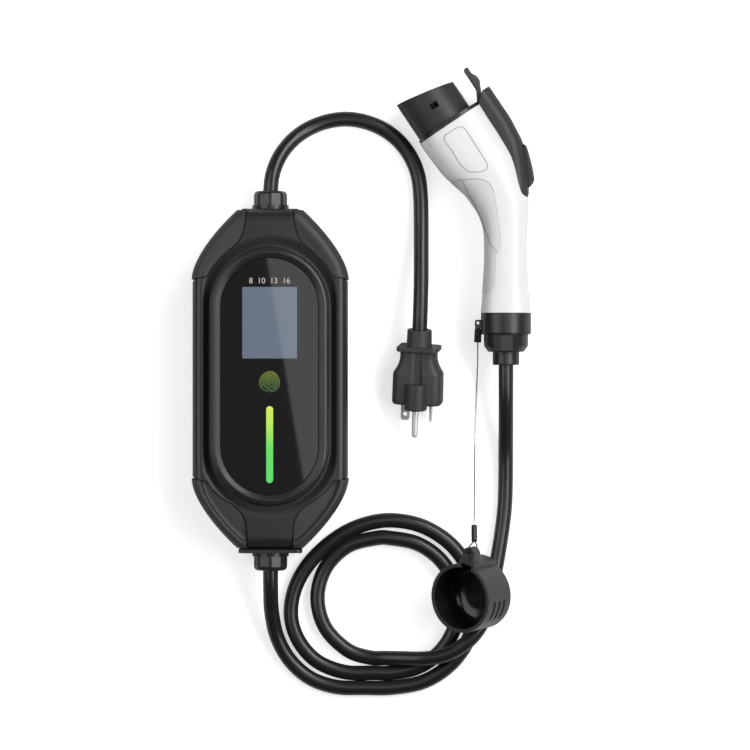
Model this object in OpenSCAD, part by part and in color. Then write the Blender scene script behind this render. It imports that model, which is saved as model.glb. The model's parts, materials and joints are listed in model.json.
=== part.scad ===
// Portable charging set for an electric car, lying at rest on a flat surface: plug and
// input lead, control box, charge cable, vehicle connector with its latch, and dust cap.
// The origin is the centre of the control box's back face. X runs across the box,
// Y along it towards the input lead, and Z out of its front.

/* [Control box] */
// Length over the two end faces
box_l = 248; // [242:1:256]
// Width over the straight sides
box_w = 113; // [109:1:118]
// Height of the housing without the front ring
box_h = 47; // [45:1:50]
// Width of each flat end
end_w = 46; // [43:1:49]
// Length of the straight sides
side_l = 144; // [138:1:150]
// Height of the joint between the shells
joint_h = 24; // [23:0.5:26]
// Thickness of the housing walls
box_wall = 2.6; // [2.2:0.1:3]
// Rounding of the back edge
back_round = 7; // [6:0.5:8]
// Rounding of the front edge
front_round = 9; // [8:0.5:10]
// Thickness of the rubber corner guards
guard_t = 3.2; // [2.8:0.1:3.6]

/* [Front] */
// Width of the glass
glass_w = 71; // [68:0.5:73]
// Length of the glass
glass_l = 172; // [168:1:176]
// Thickness of the glass
glass_t = 2.4; // [2:0.1:3]
// Height of the ring's crest above the housing
ring_h = 8.6; // [7.5:0.1:10]
// Width of the ring round the glass
ring_w = 7.2; // [6.5:0.1:8]
// Depth of the glass below the ring's crest
glass_drop = 2.8; // [2.2:0.1:3.4]
// Distance of the glass's centre from the middle of the box
front_shift = 1.9; // [1:0.1:3]
// Width of the display
lcd_w = 39.6; // [36:0.2:43]
// Length of the display
lcd_l = 51.8; // [48:0.2:55]
// Width of the light bar
bar_w = 5.7; // [5:0.1:6.5]
// Length of the light bar
bar_l = 56.4; // [52:0.2:60]
// Diameter of the touch mark
touch_d = 15.2; // [13:0.1:17]

/* [Cables] */
// Diameter of both cables
cable_d = 11; // [10:0.1:11.4]
// Diameter of the lanyard wire
wire_d = 1; // [0.8:0.1:1.2]
// Width of the cable glands' nuts over their corners
gland_d = 23; // [21:0.5:25]
// Length of the gland nut outside the box
gland_l = 10.4; // [9:0.2:12]

/* [Plug] */
// Width of the plug body at its pins
plug_w = 36.8; // [35:0.2:40]
// Depth of the plug body
plug_h = 23; // [21:0.2:25]
// Length of the plug body from its rear plate
plug_l = 42.8; // [40:0.2:45]
// Distance between the two blades
blade_gap = 19; // [18:0.1:20]
// Width of a blade
blade_w = 6.35; // [6:0.05:6.7]
// Thickness of a blade
blade_t = 1.5; // [1.3:0.1:1.7]
// Length of the blades outside the body
blade_l = 13.5; // [12:0.5:18]
// Diameter of the ground pin
pin_d = 4.8; // [4.6:0.05:5]
// Length of the ground pin outside its boss
pin_l = 20.6; // [18:0.2:22]

/* [Connector] */
// Outer diameter of the nose
nose_d = 43.8; // [43:0.1:44.6]
// Wall of the nose
nose_wall = 2.2; // [1.8:0.1:2.6]
// Length of the nose on its latch side
nose_short = 22; // [20:0.5:24]
// Length of the nose on its lower side
nose_long = 30.6; // [28:0.5:33]
// Width of the head behind the nose
head_w = 54.4; // [53:0.2:56]
// Depth of the head, which the connector lies on
head_h = 48.4; // [47:0.2:49.6]
// Width of the grip
grip_w = 31.4; // [29:0.2:34]
// Depth of the grip
grip_h = 34; // [31:0.2:37]
// Diameter of the tail
tail_d = 36.4; // [34:0.2:38]
// Thickness of the handle's walls
handle_wall = 2.6; // [2.2:0.1:3]
// Thickness of the soft grip inserts
insert_t = 1.4; // [1.1:0.1:1.7]
// Thickness of the latch lever across the head
lever_t = 10; // [8:0.5:12]
// Diameter of the lever's pivot pin
pivot_d = 3; // [2.6:0.1:3.4]
// Angle through which the trigger turns the lever
lever_turn = 6; // [4:0.5:7]
// Width of the latch cover
cover_w = 29; // [26:0.5:32]

/* [Cap] */
// Outer diameter of the dust cap
cap_d = 50.5; // [49:0.5:52]
// Inner diameter of the dust cap
cap_bore = 45.2; // [44.4:0.2:46]
// Length of the dust cap
cap_l = 30; // [28:0.5:33]

/* [Hidden] */
$fn = 48;
slice = 0.02;          // thickness of the slices that a hull joins
gap = 0.15;            // clearance between seated pieces
run_gap = 0.6;         // clearance round the moving lever

// Colours
black = "#232325";
rubber = "#2b2b2d";
gloss = "#151518";
white = "#e8e8ea";
grey = "#c9c9cc";
charcoal = "#3a3a3c";
metal = "#b8bac0";
brass = "#c9a44c";
board = "#2e6b45";

// Point on a cubic curve with two handles
function cubic(a, b, c, d, t) = a * pow(1 - t, 3) + 3 * b * t * pow(1 - t, 2)
    + 3 * c * t * t * (1 - t) + d * pow(t, 3);

// Skin over rings of equal point counts, closed at both ends
module skin(rings) {
    n = len(rings[0]);
    m = len(rings);
    polyhedron(points = [for (r = rings) each r], faces = [
        [for (i = [0 : n - 1]) i],
        for (k = [0 : m - 2]) for (i = [0 : n - 1]) let (a = k * n + i, b = k * n + (i + 1) % n)
            each [[a, a + n, b], [b, a + n, b + n]],
        [for (i = [n - 1 : -1 : 0]) (m - 1) * n + i]
    ], convexity = 8);
}

// Round tube of diameter d along a route that never runs straight up
function unit(v) = v / norm(v);
module tube(route, d, sides) {
    last = len(route) - 1;
    skin([for (k = [0 : last]) let (
            t = unit(route[min(k + 1, last)] - route[max(k - 1, 0)]),
            s = unit(cross([0, 0, 1], t)),
            u = cross(t, s))
        [for (i = [0 : sides - 1]) let (a = 360 * i / sides)
            route[k] + d / 2 * (cos(a) * u - sin(a) * s)]]);
}

// Control box outline

outline_steps = 7;
end_corner = 3;        // rounding between an end and a diagonal

// Share by which the curved ends are longer than 52 mm each
end_share = (box_l - side_l) / 104;

// Quarter of the outline, drawn in by s all round
function quarter(s) = let (a = [end_w / 2 - 0.384 * s, box_l / 2 - 1 - s],
        d = [box_w / 2 - s, side_l / 2], k = 1 - s / 60)
    concat([for (i = [0 : outline_steps])
        cubic(d, d + k * [0, 14 * end_share], a + k * [17.5, -16 * end_share], a, i / outline_steps)],
        [[a.x - end_corner, a.y + 1]]);
function outline(s) = let (q = quarter(s), n = len(q) - 1)
    [each q, for (i = [n : -1 : 0]) [-q[i].x, q[i].y],
        for (p = q) [-p.x, -p.y], for (i = [n : -1 : 0]) [q[i].x, -q[i].y]];
module box_plan(inset) polygon(outline(inset));

// Edge roundings: each row is the height and the inset there
back_edge = [[0, back_round], [back_round * 0.18, back_round * 0.42],
    [back_round * 0.55, back_round * 0.1], [back_round * 1.2, 0]];
front_edge = [[box_h - front_round * 1.1, 0], [box_h - front_round * 0.62, front_round * 0.12],
    [box_h - front_round * 0.22, front_round * 0.42], [box_h, front_round]];

// Solids whose outline follows rows of height and inset: the whole box, or the part of
// it that lies in the upper right quarter
function level(points, z) = [for (p = points) [p.x, p.y, z]];
module whole(rows) skin([for (r = rows) level(outline(r.y), r.x)]);
module corner_part(rows) skin([for (r = rows) level([[12, side_l / 2 - 8],
    [box_w / 2 - r.y, side_l / 2 - 8], each quarter(r.y), [12, box_l / 2 - r.y]], r.x)]);
rear_rows = concat(back_edge, [[joint_h, 0]]);
front_rows = concat([[joint_h, 0]], front_edge);
core_rear = [[2, guard_t + 2.6], [back_round * 0.55 + 1, guard_t + 1], [joint_h, guard_t]];
core_front = [[joint_h, guard_t], [box_h - front_round * 0.8, guard_t + 0.4],
    [box_h - front_round * 0.3, guard_t + 3], [box_h - 2, guard_t + front_round * 0.8]];

// Area of the guard at the upper right corner. Its inner edge is given by the distance
// from the long side, and by the way from the end of the straight side to the box's end.
guard_edge = [[1.1, 0.2], [11.3, 2.8], [14.1, 8], [19.9, 15], [26.5, 21.2], [33.1, 27], [36.5, 33],
    [38.7, 41.5]];
guard_area = concat([for (p = guard_edge) [box_w / 2 - p.x, side_l / 2 + p.y * end_share]],
    [[17, box_l / 2 + 0.1], [box_w, box_l / 2 + 0.1], [box_w, side_l / 2 + 0.2]]);
guard_low = 3.4;       // height at which the guards begin
guard_proud = 0.7;     // height of the guards over the shells
wall_in = guard_t + box_wall;

module corner(kx, ky) scale([kx, ky, 1]) children();
module guard_cut(grow = 0) {
    translate([0, 0, guard_low - grow]) linear_extrude(box_h)
        offset(delta = grow) polygon(guard_area);
}

// Stadium of length l and width w about the middle of the glass
module stadium(l, w) {
    translate([0, front_shift]) {
        square([w, l - w], center = true);
        for (k = [-1, 1]) translate([0, k * (l - w) / 2]) circle(d = w);
    }
}

// Runs a profile, drawn at its distance from the glass's edge line, round the stadium
module round_glass() {
    half = (glass_l - glass_w) / 2;
    translate([0, front_shift, 0]) {
        for (k = [0, 1]) rotate([0, 0, 180 * k]) translate([0, half, 0])
            rotate_extrude(angle = 180, $fn = 72) translate([glass_w / 2, 0]) children();
        for (k = [0, 1]) rotate([90, 0, 180 * k]) translate([0, 0, -half])
            linear_extrude(2 * half) translate([glass_w / 2, 0]) children();
    }
}

crest_z = box_h + ring_h;
glass_top = crest_z - glass_drop;
seat_z = glass_top - glass_t;
ledge = 2.6;           // width of the ledge that carries the glass
ring_section = [[-ledge, seat_z - 1.6], [-ledge, seat_z], [gap, seat_z], [gap, glass_top - 0.2],
    [ring_w * 0.32, crest_z - 0.5], [ring_w * 0.45, crest_z], [ring_w * 0.6, crest_z - 0.15],
    [ring_w * 0.8, crest_z - 1.9], [ring_w, box_h - 1.5], [ring_w, box_h - 3.4],
    [-ledge, box_h - 3.4]];
groove_r = 7.5;        // radius of the valley round the ring
groove_out = 4.4;      // distance of the valley's middle from the ring
groove_deep = 4.2;

module front_shell() color(black) difference() {
    union() {
        difference() {
            whole(front_rows);
            for (kx = [-1, 1]) for (ky = [-1, 1]) corner(kx, ky) guard_cut();
        }
        whole(core_front);
        round_glass() polygon(ring_section);
    }
    // Inside
    difference() {
        whole([[joint_h - 1, wall_in], [box_h - front_round, wall_in],
            [box_h - wall_in, wall_in + front_round - 2]]);
        front_bosses();
    }
    // Opening under the glass
    translate([0, 0, box_h - wall_in - 3])
        linear_extrude(30) stadium(glass_l - 2 * ledge, glass_w - 2 * ledge);
    // Valley round the ring
    round_glass() translate([ring_w + groove_out, box_h + groove_r - groove_deep]) circle(r = groove_r);
    // Cable openings
    for (k = [-1, 1]) gland_hole(k);
    for (p = screw_places) translate([p.x, p.y, joint_h - 2]) cylinder(d = screw_d - 0.6, h = 10);
}

// Where the case screws stand
screw_d = 3.5;
end_screw = box_l / 2 - 23;
screw_places = [for (kx = [-1, 1]) for (y = [-end_screw, -46, 46, end_screw])
    [kx * (abs(y) > 80 ? 17 : box_w / 2 - wall_in - 6.4), y]];
boss_d = 9;
module front_bosses() for (p = screw_places) translate([p.x, p.y, joint_h])
    cylinder(d = boss_d, h = box_h);
module rear_bosses() for (p = screw_places) translate([p.x, p.y, 0])
    cylinder(d = boss_d, h = joint_h);

board_low = 9;         // height of the circuit board's underside
board_t = 1.6;
board_w = box_w - 39;
board_l = box_l - 72;
board_posts = [for (kx = [-1, 1]) for (ky = [-1 : 1])
    [kx * (board_w / 2 - 6), ky * (board_l / 2 - 8)]];

module rear_shell() color(black) difference() {
    union() {
        difference() {
            whole(rear_rows);
            for (kx = [-1, 1]) for (ky = [-1, 1]) corner(kx, ky) guard_cut();
        }
        whole(core_rear);
    }
    difference() {
        whole([[box_wall + 0.8, wall_in + 2.4], [box_wall + 4, wall_in], [joint_h + 1, wall_in]]);
        rear_bosses();
        for (p = board_posts) translate([p.x, p.y, 0]) cylinder(d = 6, h = board_low);
    }
    seal_ring(seal_t + 1);
    for (k = [-1, 1]) gland_hole(k);
    // Screws go in from the back, with their heads sunk
    for (p = screw_places) translate([p.x, p.y, -1]) {
        cylinder(d = screw_d + 0.3, h = joint_h + 2);
        cylinder(d = head_d + 0.5, h = 1 + head_sunk + head_l);
    }
}
head_d = 6.4;
head_l = 2.4;
head_sunk = 3;

module case_screws() color(metal) for (p = screw_places) translate([p.x, p.y, head_sunk]) {
    difference() {
        cylinder(d = head_d, h = head_l);
        translate([0, 0, -0.1]) cylinder(d = 3, h = 1.3, $fn = 6);
    }
    translate([0, 0, head_l - 0.1]) cylinder(d = screw_d - 0.7, h = joint_h - head_sunk - head_l + 6.5);
}

// Flat seal in a groove of the rear shell's rim
seal_t = 1.4;
module seal_ring(h) translate([0, 0, joint_h - seal_t]) linear_extrude(h) difference() {
    box_plan(guard_t + 0.7);
    box_plan(guard_t + 2);
}
module shell_seal() color(gloss) difference() {
    seal_ring(seal_t);
    for (k = [-1, 1]) gland_hole(k, 1);
}

guard_rows = [for (r = concat(back_edge, front_edge)) if (r.x > guard_low)
    [r.x + (r.x > joint_h ? 0.5 : 0), r.y - guard_proud]];
guard_foot = [[guard_low, back_round * 0.15 - guard_proud]];
module guard(kx, ky) color(rubber) corner(kx, ky) difference() {
    intersection() {
        corner_part(concat(guard_foot, guard_rows));
        translate([0, 0, guard_low - 1]) linear_extrude(box_h)
            offset(delta = -gap) polygon(guard_area);
    }
    corner_part([[0, guard_t + 1.4 - gap], [back_round * 0.55 + 1, guard_t + 1 - gap],
        [joint_h, guard_t - gap], for (r = core_front) if (r.x > joint_h) [r.x + gap, r.y - gap]]);
}
module guard_upper_left() guard(-1, 1);
module guard_upper_right() guard(1, 1);
module guard_lower_left() guard(-1, -1);
module guard_lower_right() guard(1, -1);

// Places on the glass, measured from the middle of the box
glass_share = glass_l / 172;
lcd_y = front_shift + 38.9 * glass_share;
touch_y = front_shift - 4 * glass_share;
bar_y = front_shift - 49.4 * glass_share;

module glass_panel() color(gloss) difference() {
    translate([0, 0, seat_z]) linear_extrude(glass_t) stadium(glass_l, glass_w);
    translate([0, bar_y, seat_z - 1]) linear_extrude(glass_t + 2) bar_shape(bar_w + 0.1);
}
module bar_shape(w) hull() for (k = [-1, 1]) translate([0, k * (bar_l - bar_w) / 2]) circle(d = w);

module light_pipe() color("#7fe070") {
    translate([0, bar_y, seat_z - 3]) linear_extrude(3 + glass_t) bar_shape(bar_w);
    translate([0, bar_y, seat_z - 5]) linear_extrude(2) square([bar_w + 5, bar_l + 2], center = true);
}

lcd_module_t = 5;
module display_module() color("#8fa0ad") translate([0, lcd_y, seat_z - lcd_module_t]) {
    linear_extrude(lcd_module_t) square([lcd_w + 4, lcd_l + 6], center = true);
}

module touch_board() color(board) translate([0, touch_y, seat_z - 2]) {
    linear_extrude(2) circle(d = touch_d + 3);
}

module main_board() color(board) difference() {
    translate([-board_w / 2, -board_l / 2, board_low]) cube([board_w, board_l, board_t]);
    for (p = board_posts) translate([p.x, p.y, board_low - 1]) cylinder(d = 3.2, h = board_t + 2);
}

board_top = board_low + board_t;
relay = [28, 30, 22];
module relays() color("#3d4a63") for (k = [-1, 1]) translate([k * 17.5, -34, board_top + relay.z / 2])
    difference() {
        cube(relay, center = true);
        for (s = [-1, 1]) translate([s * relay.x / 2, 0, relay.z / 2]) rotate([0, 45, 0])
            cube([1.6, relay.y + 2, 1.6], center = true);
    }

module power_module() color(charcoal) translate([-14, board_l / 2 - 30, board_top]) {
    translate([-17, -24, 0]) cube([34, 48, 18]);
    translate([-14, -21, 18]) cube([28, 42, 2]);
}

// Coil that both supply conductors pass through
coil_d = 30;
module leak_sensor() color("#6e5c46") translate([22, 16, board_top]) difference() {
    cylinder(d = coil_d, h = 13);
    translate([0, 0, -1]) cylinder(d = coil_d * 0.45, h = 15);
}

module terminal_block() color("#4f7d5a") translate([0, 14 - board_l / 2, board_top]) difference() {
    translate([-26, -7, 0]) cube([52, 14, 15]);
    for (i = [-2 : 2]) {
        translate([i * 10, -8, 4]) cube([7, 8, 7]);
        translate([i * 10 + 3.5, 3.4, 9]) cylinder(d = 4, h = 7);
    }
}

// Glands: a body through the end wall, a nut, and a rubber seal round the cable

gland_z = joint_h;
flange_t = 2.9;
flange_d = gland_d + 3.6;
plate_t = 2.6;
spigot_d = 16;
module along_y(k, y) translate([0, k * y, gland_z]) rotate([-90 * k, 0, 0]) children();
module gland_hole(k, grow = 0) along_y(k, box_l / 2 - wall_in - 12 - grow)
    cylinder(d = spigot_d + 2 * gap + grow, h = 40);

module gland_body(k, foot) color(black) along_y(k, box_l / 2) difference() {
    union() {
        translate([0, 0, foot]) cylinder(d = flange_d, h = flange_t);
        translate([0, 0, -9]) cylinder(d = spigot_d, h = foot + 9.1 + flange_t + 4);
        // Lock nut inside the wall
        translate([0, 0, -9]) cylinder(d = spigot_d + 5, h = 2.6, $fn = 6);
    }
    translate([0, 0, -10]) cylinder(d = cable_d + 0.8, h = 60);
}
module inlet_gland() gland_body(1, 0);
module outlet_gland() gland_body(-1, plate_t);

module end_plate() color(black) along_y(-1, box_l / 2) difference() {
    linear_extrude(plate_t) offset(r = 4) offset(delta = -4)
        square([end_w, box_h - back_round - front_round + 8], center = true);
    translate([0, 0, -1]) cylinder(d = spigot_d + 2 * gap, h = plate_t + 2);
}

module gland_nut(k, foot, domed) color(gloss) along_y(k, box_l / 2 + foot + flange_t) difference() {
    intersection() {
        cylinder(d = gland_d, h = gland_l, $fn = 6);
        // The outer end is turned to a cone or a dome
        rotate_extrude($fn = 48) polygon(domed
            ? [[0, 0], [gland_d / 2, 0], [gland_d / 2, gland_l * 0.62],
                [gland_d * 0.46, gland_l * 0.86], [gland_d * 0.36, gland_l], [0, gland_l]]
            : [[0, 0], [gland_d / 2, 0], [gland_d / 2, gland_l * 0.84],
                [gland_d * 0.43, gland_l], [0, gland_l]]);
    }
    translate([0, 0, -1]) cylinder(d = cable_d + 0.8, h = gland_l + 2);
    translate([0, 0, -1]) cylinder(d = spigot_d + 2 * gap, h = 5.4);
    translate([0, 0, 4.3]) cylinder(d = seal_d + 0.2, h = gland_l - 6);
}
module inlet_nut() gland_nut(1, 0, false);
module outlet_nut() gland_nut(-1, plate_t, true);

seal_d = 14.4;
module gland_seals() color(rubber) for (k = [-1, 1])
    along_y(k, box_l / 2 + (k > 0 ? 0 : plate_t) + flange_t + 4.5) difference() {
        cylinder(d = seal_d, h = gland_l - 6.4);
        translate([0, 0, -1]) cylinder(d = cable_d + 0.4, h = gland_l);
    }

// Input lead: out of the box, down to the surface, round and up to the plug
input_route = [[0, 118, 24], [0, 136, 24], [1.6, 150, 22.4], [7, 163.5, 18.2], [15.8, 175, 12.8],
    [27.2, 183.6, 8.4], [40.5, 189, 6.2], [54.7, 191, 5.6], [69, 189, 5.5], [82.2, 183.6, 5.5],
    [93.6, 175, 5.5], [102.3, 163.5, 5.5], [107.8, 150, 5.5], [109.8, 134, 5.8], [110.2, 114, 8.4],
    [110.2, 94, 13.6], [110.1, 74, 19.2], [109.7, 58, 22.6], [109.3, 46, 23.6], [108.96, 36.4, 22.55],
    [108.87, 33.4, 22.02]];
module input_lead() color(gloss) tube(input_route, cable_d, 12);

// Plug, drawn with Z towards its pins and laid down at its place

plug_at = [108.6, 24.2, 20.4];
plug_tilt = 10;
plug_turn = -1.7;
plug_roll = 10;
module at_plug() translate(plug_at) rotate([0, 0, plug_turn]) rotate([90 + plug_tilt, 0, 0])
    rotate([0, 0, plug_roll]) children();

sleeve_d = 18;
sleeve_l = 12.2;
rear_plate = [30.6, 23.6, 3.4];
ground_y = 7.6;        // distance of the ground pin from the plug's axis
boss_r = 8.4;          // radius of the ground pin's boss
boss_l = 19.4;
boss_out = 3.6;        // length of the boss in front of the body
pin_step = 0.5;        // the pin's shank is thinner up to here in front of the boss
shank_d = pin_d - 0.6;

// Superellipse ring at height z
function oval(w, h, z, n, e) = [for (i = [0 : n - 1]) let (c = cos(360 * i / n), s = sin(360 * i / n))
    [w / 2 * sign(c) * pow(abs(c), 2 / e), h / 2 * sign(s) * pow(abs(s), 2 / e), z]];

// Width and depth of the plug body along its length, as shares of its full size
plug_stations = [[0, 0.72, 0.9], [0.12, 0.725, 0.88], [0.23, 0.77, 0.88], [0.32, 0.86, 0.91],
    [0.4, 0.97, 0.95], [0.5, 1, 1], [0.97, 1, 1], [1, 0.97, 0.96]];
module plug_body() color(charcoal) at_plug() difference() {
    union() {
        translate([0, 0, -sleeve_l]) cylinder(d1 = sleeve_d, d2 = sleeve_d + 0.8, h = sleeve_l + 1);
        linear_extrude(rear_plate.z) offset(r = 4) offset(delta = -4)
            square([rear_plate.x, rear_plate.y], center = true);
        translate([0, -0.6, rear_plate.z - 0.5]) skin([for (s = plug_stations)
            oval(plug_w * s.y, plug_h * s.z, (plug_l - rear_plate.z) * s.x, 24, 4)]);
        translate([0, ground_y, plug_l - boss_l + boss_out]) cylinder(r = boss_r, h = boss_l);
    }
    // Hollow between the rear plate and the boss
    translate([0, plug_h / 2 + 3.4, rear_plate.z]) cylinder(r = 6, h = plug_l - boss_l + boss_out - rear_plate.z);
    translate([0, 0, -sleeve_l - 1]) cylinder(d = cable_d + 0.6, h = 5);
    // Seats of the pins
    translate([0, ground_y, plug_l - 12]) cylinder(d = shank_d + 0.1, h = 40);
    at_blade(-1) blade_block(0.05);
    at_blade(1) blade_block(0.05);
}
blade_root = 9;
blade_y = -4.2;
module at_blade(k) translate([k * blade_gap / 2, blade_y, plug_l - blade_root])
    rotate([0, 0, k < 0 ? 0 : 90]) children();
module blade_block(grow) translate([-blade_w / 2 - grow, -blade_t / 2 - grow, -grow])
    cube([blade_w + 2 * grow, blade_t + 2 * grow, blade_root + blade_l + 2 * grow]);
module blade(k) color(metal) at_plug() at_blade(k) difference() {
    blade_block(0);
    translate([0, 5, blade_root + blade_l - 4.4]) rotate([90, 0, 0]) cylinder(d = 3, h = 10);
    for (s = [-1, 1]) translate([s * blade_w / 2, -2, blade_root + blade_l]) rotate([0, 45, 0])
        translate([-0.9, 0, -0.9]) cube([1.8, 4, 1.8]);
}
module blade_flat() blade(-1);
module blade_upright() blade(1);
module ground_pin() color(metal) at_plug() translate([0, ground_y, plug_l + boss_out]) {
    translate([0, 0, -14]) cylinder(d = shank_d, h = 16);
    translate([0, 0, pin_step]) cylinder(d = pin_d, h = pin_l - pin_step - pin_d / 2);
    translate([0, 0, pin_l - pin_d / 2]) sphere(d = pin_d);
}

// Charge cable: out of the box, round in two and a half flat turns, over both turns on its
// way out, under the cap and up to the connector
cable_route = [[0, -118, 24], [0, -138, 24], [0, -154, 21.6], [0.6, -171, 15], [4.6, -190, 8.6],
    [14, -207, 5.8], [29, -220, 5.5], [48, -226.4, 5.5], [68, -227, 5.5], [89.5, -226.8, 5.5],
    [112.9, -222.1, 5.5], [132.8, -208.8, 5.5], [146.1, -188.9, 5.5], [150.8, -165.5, 5.5],
    [146.1, -142.1, 5.5], [132.8, -122.2, 5.5], [112.9, -108.9, 5.5], [92, -104, 5.5],
    [74, -105.4, 5.5], [56, -112, 5.5], [39.5, -123.5, 5.5], [25.6, -138.5, 5.5],
    [16.8, -156, 5.5], [14.6, -175, 5.5], [20.6, -193, 5.5], [34, -207.6, 5.5],
    [54, -215.4, 5.5], [75, -216, 5.5], [88, -216, 5.5], [106.9, -212.2, 5.5],
    [123, -201.5, 5.5], [133.7, -185.4, 5.5], [137.5, -166.5, 5.5], [133.7, -147.6, 5.5],
    [123, -131.5, 5.5], [106.9, -120.8, 5.5], [88, -117, 5.5], [77, -117, 5.5],
    [56, -122.9, 5.5], [39.9, -139, 5.5], [34, -161, 5.5], [39.9, -183, 5.5],
    [56, -199.1, 5.5], [72, -204.6, 5.6], [84, -205, 7.4], [97, -205, 11.8],
    [110.8, -205, 16], [123.7, -203.3, 17], [135.8, -198.3, 17], [146.2, -190.4, 16.8],
    [154.1, -180, 16], [159.1, -167.9, 14.6], [162.4, -152, 12.6], [165.8, -134, 9.6],
    [169.2, -114, 6.8], [171.6, -94, 5.6], [172.3, -74, 5.7], [172.3, -54, 8.3],
    [172.2, -34, 15.4], [172, -14, 22.6], [172, 4, 24.9], [172, 24, 25], [172, 62, 25]];
module charge_cable() color(gloss) tube(cable_route, cable_d, 12);

// Vehicle connector, lying on its side with its plane of symmetry at half its head depth

conn_z = 25;
nose_at = [127.4, 186.4, conn_z];
nose_angle = 33.7;
module at_nose() translate(nose_at) rotate([0, 0, nose_angle]) rotate([-90, 0, 0]) children();

// Handle stations: middle x and y, width, depth, and heading of the cross-section
stations = [
    [131.9, 186.8, head_w, head_h, 33.7],
    [137.5, 178.1, head_w - 0.2, head_h, 30.4],
    [143.8, 169, head_w - 0.6, head_h - 0.2, 28.4],
    [150.1, 159.9, head_w - 1.4, head_h - 1, 25.6],
    [155.2, 153.1, head_w - 3.4, head_h - 3, 22],
    [159.3, 146.9, head_w - 6.6, head_h - 5.6, 19.3],
    [163.4, 140.2, head_w - 11, head_h - 8.4, 18],
    [167, 132.8, grip_w + 9.4, grip_h + 3.4, 16.2],
    [170, 125.8, grip_w + 7, grip_h + 1.6, 13.4],
    [171.2, 117.1, grip_w + 3, grip_h + 0.2, 9],
    [171.8, 108.7, grip_w + 0.8, grip_h - 0.4, 4],
    [172, 99, grip_w, grip_h - 0.4, 0],
    [171.9, 86.9, grip_w - 0.2, grip_h, 0],
    [171.8, 72.3, grip_w + 1.2, grip_h + 0.4, 0],
    [171.8, 61, (grip_w + tail_d) / 2 + 0.4, grip_h + 1, 0],
    [171.8, 48.2, tail_d + 0.2, tail_d, 0]];
handle_sides = 12;     // faces over each half of the handle
handle_power = 2.5;    // squareness of its cross-section

// Half of one cross-section, on the upper side, closed at a drop below the joint
function half_ring(s, shrink, drop) = let (w = s[2] / 2 - shrink, h = s[3] / 2 - shrink,
        d = [cos(s[4]), sin(s[4]), 0])
    [for (i = [0 : handle_sides]) let (a = 180 * i / handle_sides, c = cos(a), q = sin(a))
        [s[0], s[1], conn_z] + w * sign(c) * pow(abs(c), 2 / handle_power) * d
            + [0, 0, h * pow(max(q, 0), 2 / handle_power)],
     if (drop > 0) [s[0], s[1], conn_z - drop] - w * d,
     if (drop > 0) [s[0], s[1], conn_z - drop] + w * d];

module half_handle(shrink, drop, first, last) skin([for (k = [first : last])
    half_ring(stations[k], shrink, drop)]);

// Puts the children, drawn for the upper half, on the lower half
module flip() translate([0, 0, 2 * conn_z]) mirror([0, 0, 1]) children();

// Soft grip area, seen from above
grip_area = [[120, 145.6], [129.8, 145], [150, 146.8], [156.5, 146], [160.4, 142.6], [163.6, 130],
    [166, 114], [167.4, 100.6], [167.4, 95], [164.2, 90.6], [163.6, 84], [163.4, 67.5],
    [160, 63], [154, 61], [120, 60]];
module grip_cut(grow) translate([0, 0, conn_z + 0.4]) linear_extrude(40)
    offset(delta = grow) polygon(grip_area);

module handle_half() difference() {
    half_handle(0, 0, 0, 15);
    difference() {
        half_handle(handle_wall, 2, 0, 13);
        // Web that the pivot pin and the screws sit in
        for (p = handle_posts) translate([p.x, p.y, 0]) cylinder(d = 9, h = 60);
        // Rib that holds the switch
        translate([168, 158, conn_z + 3]) cylinder(d = 7, h = 40);
    }
    difference() {
        grip_cut(0);
        half_handle(insert_t, 2, 1, 14);
    }
    // Way for the cable through the tail
    translate([172, 40, conn_z]) rotate([-90, 0, 0]) cylinder(d = cable_d + 0.8, h = 46);
    lever_space();
    translate([pivot.x, pivot.y, conn_z]) cylinder(d = pivot_d + 0.1, h = cover_w / 2 - 2);
    // Seat of the head flange
    at_nose() translate([-60, -60, -flange_plate_t - 0.05]) cube([120, 120, 20]);
    handle_screw_holes();
}
handle_posts = [[147, 171], [174, 119], [173, 96]];
post_screw_d = 3;
module handle_screw_holes() for (p = handle_posts) translate([p.x, p.y, conn_z - 30])
    cylinder(d = post_screw_d - 0.4, h = 42);

module handle_upper() color(white) handle_half();
module handle_lower() color(white) difference() {
    flip() handle_half();
    for (p = handle_posts) translate([p.x, p.y, -1]) {
        cylinder(d = post_screw_d + 0.4, h = 40);
        cylinder(d = 6.2, h = post_seat(p) + 1);
    }
}
// Height of a screw's seat, by the depth of the handle over it
function post_seat(p) = p.y > 150 ? 6 : 11;
module handle_screws() color(metal) for (p = handle_posts) translate([p.x, p.y, post_seat(p) - 2.2]) {
    difference() {
        cylinder(d = 5.6, h = 2.2);
        translate([0, 0, -0.1]) cylinder(d = 2.6, h = 1.2, $fn = 6);
    }
    cylinder(d = post_screw_d - 0.5, h = conn_z - post_seat(p) + 12);
}

module grip_half() difference() {
    intersection() {
        half_handle(-0.35, 0, 0, 15);
        grip_cut(-gap);
    }
    half_handle(insert_t - gap, 2, 0, 15);
}
module grip_upper() color(grey) grip_half();
module grip_lower() color(grey) flip() grip_half();

// Head flange: a plate across the head, which carries the nose
flange_plate_t = 2.6;
module flange_plate(grow) at_nose() translate([3.3, 0, -flange_plate_t - grow])
    linear_extrude(flange_plate_t + 2 * grow)
        polygon([for (p = oval(head_w - 2 + 2 * grow, head_h + 1.6 + 2 * grow, 0, 48, handle_power)) [p.x, p.y]]);
module head_flange() color(charcoal) difference() {
    flange_plate(0);
    at_nose() translate([0, 0, -10]) cylinder(d = carrier_d + 2 * gap, h = 20);
    lever_space();
}

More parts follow.
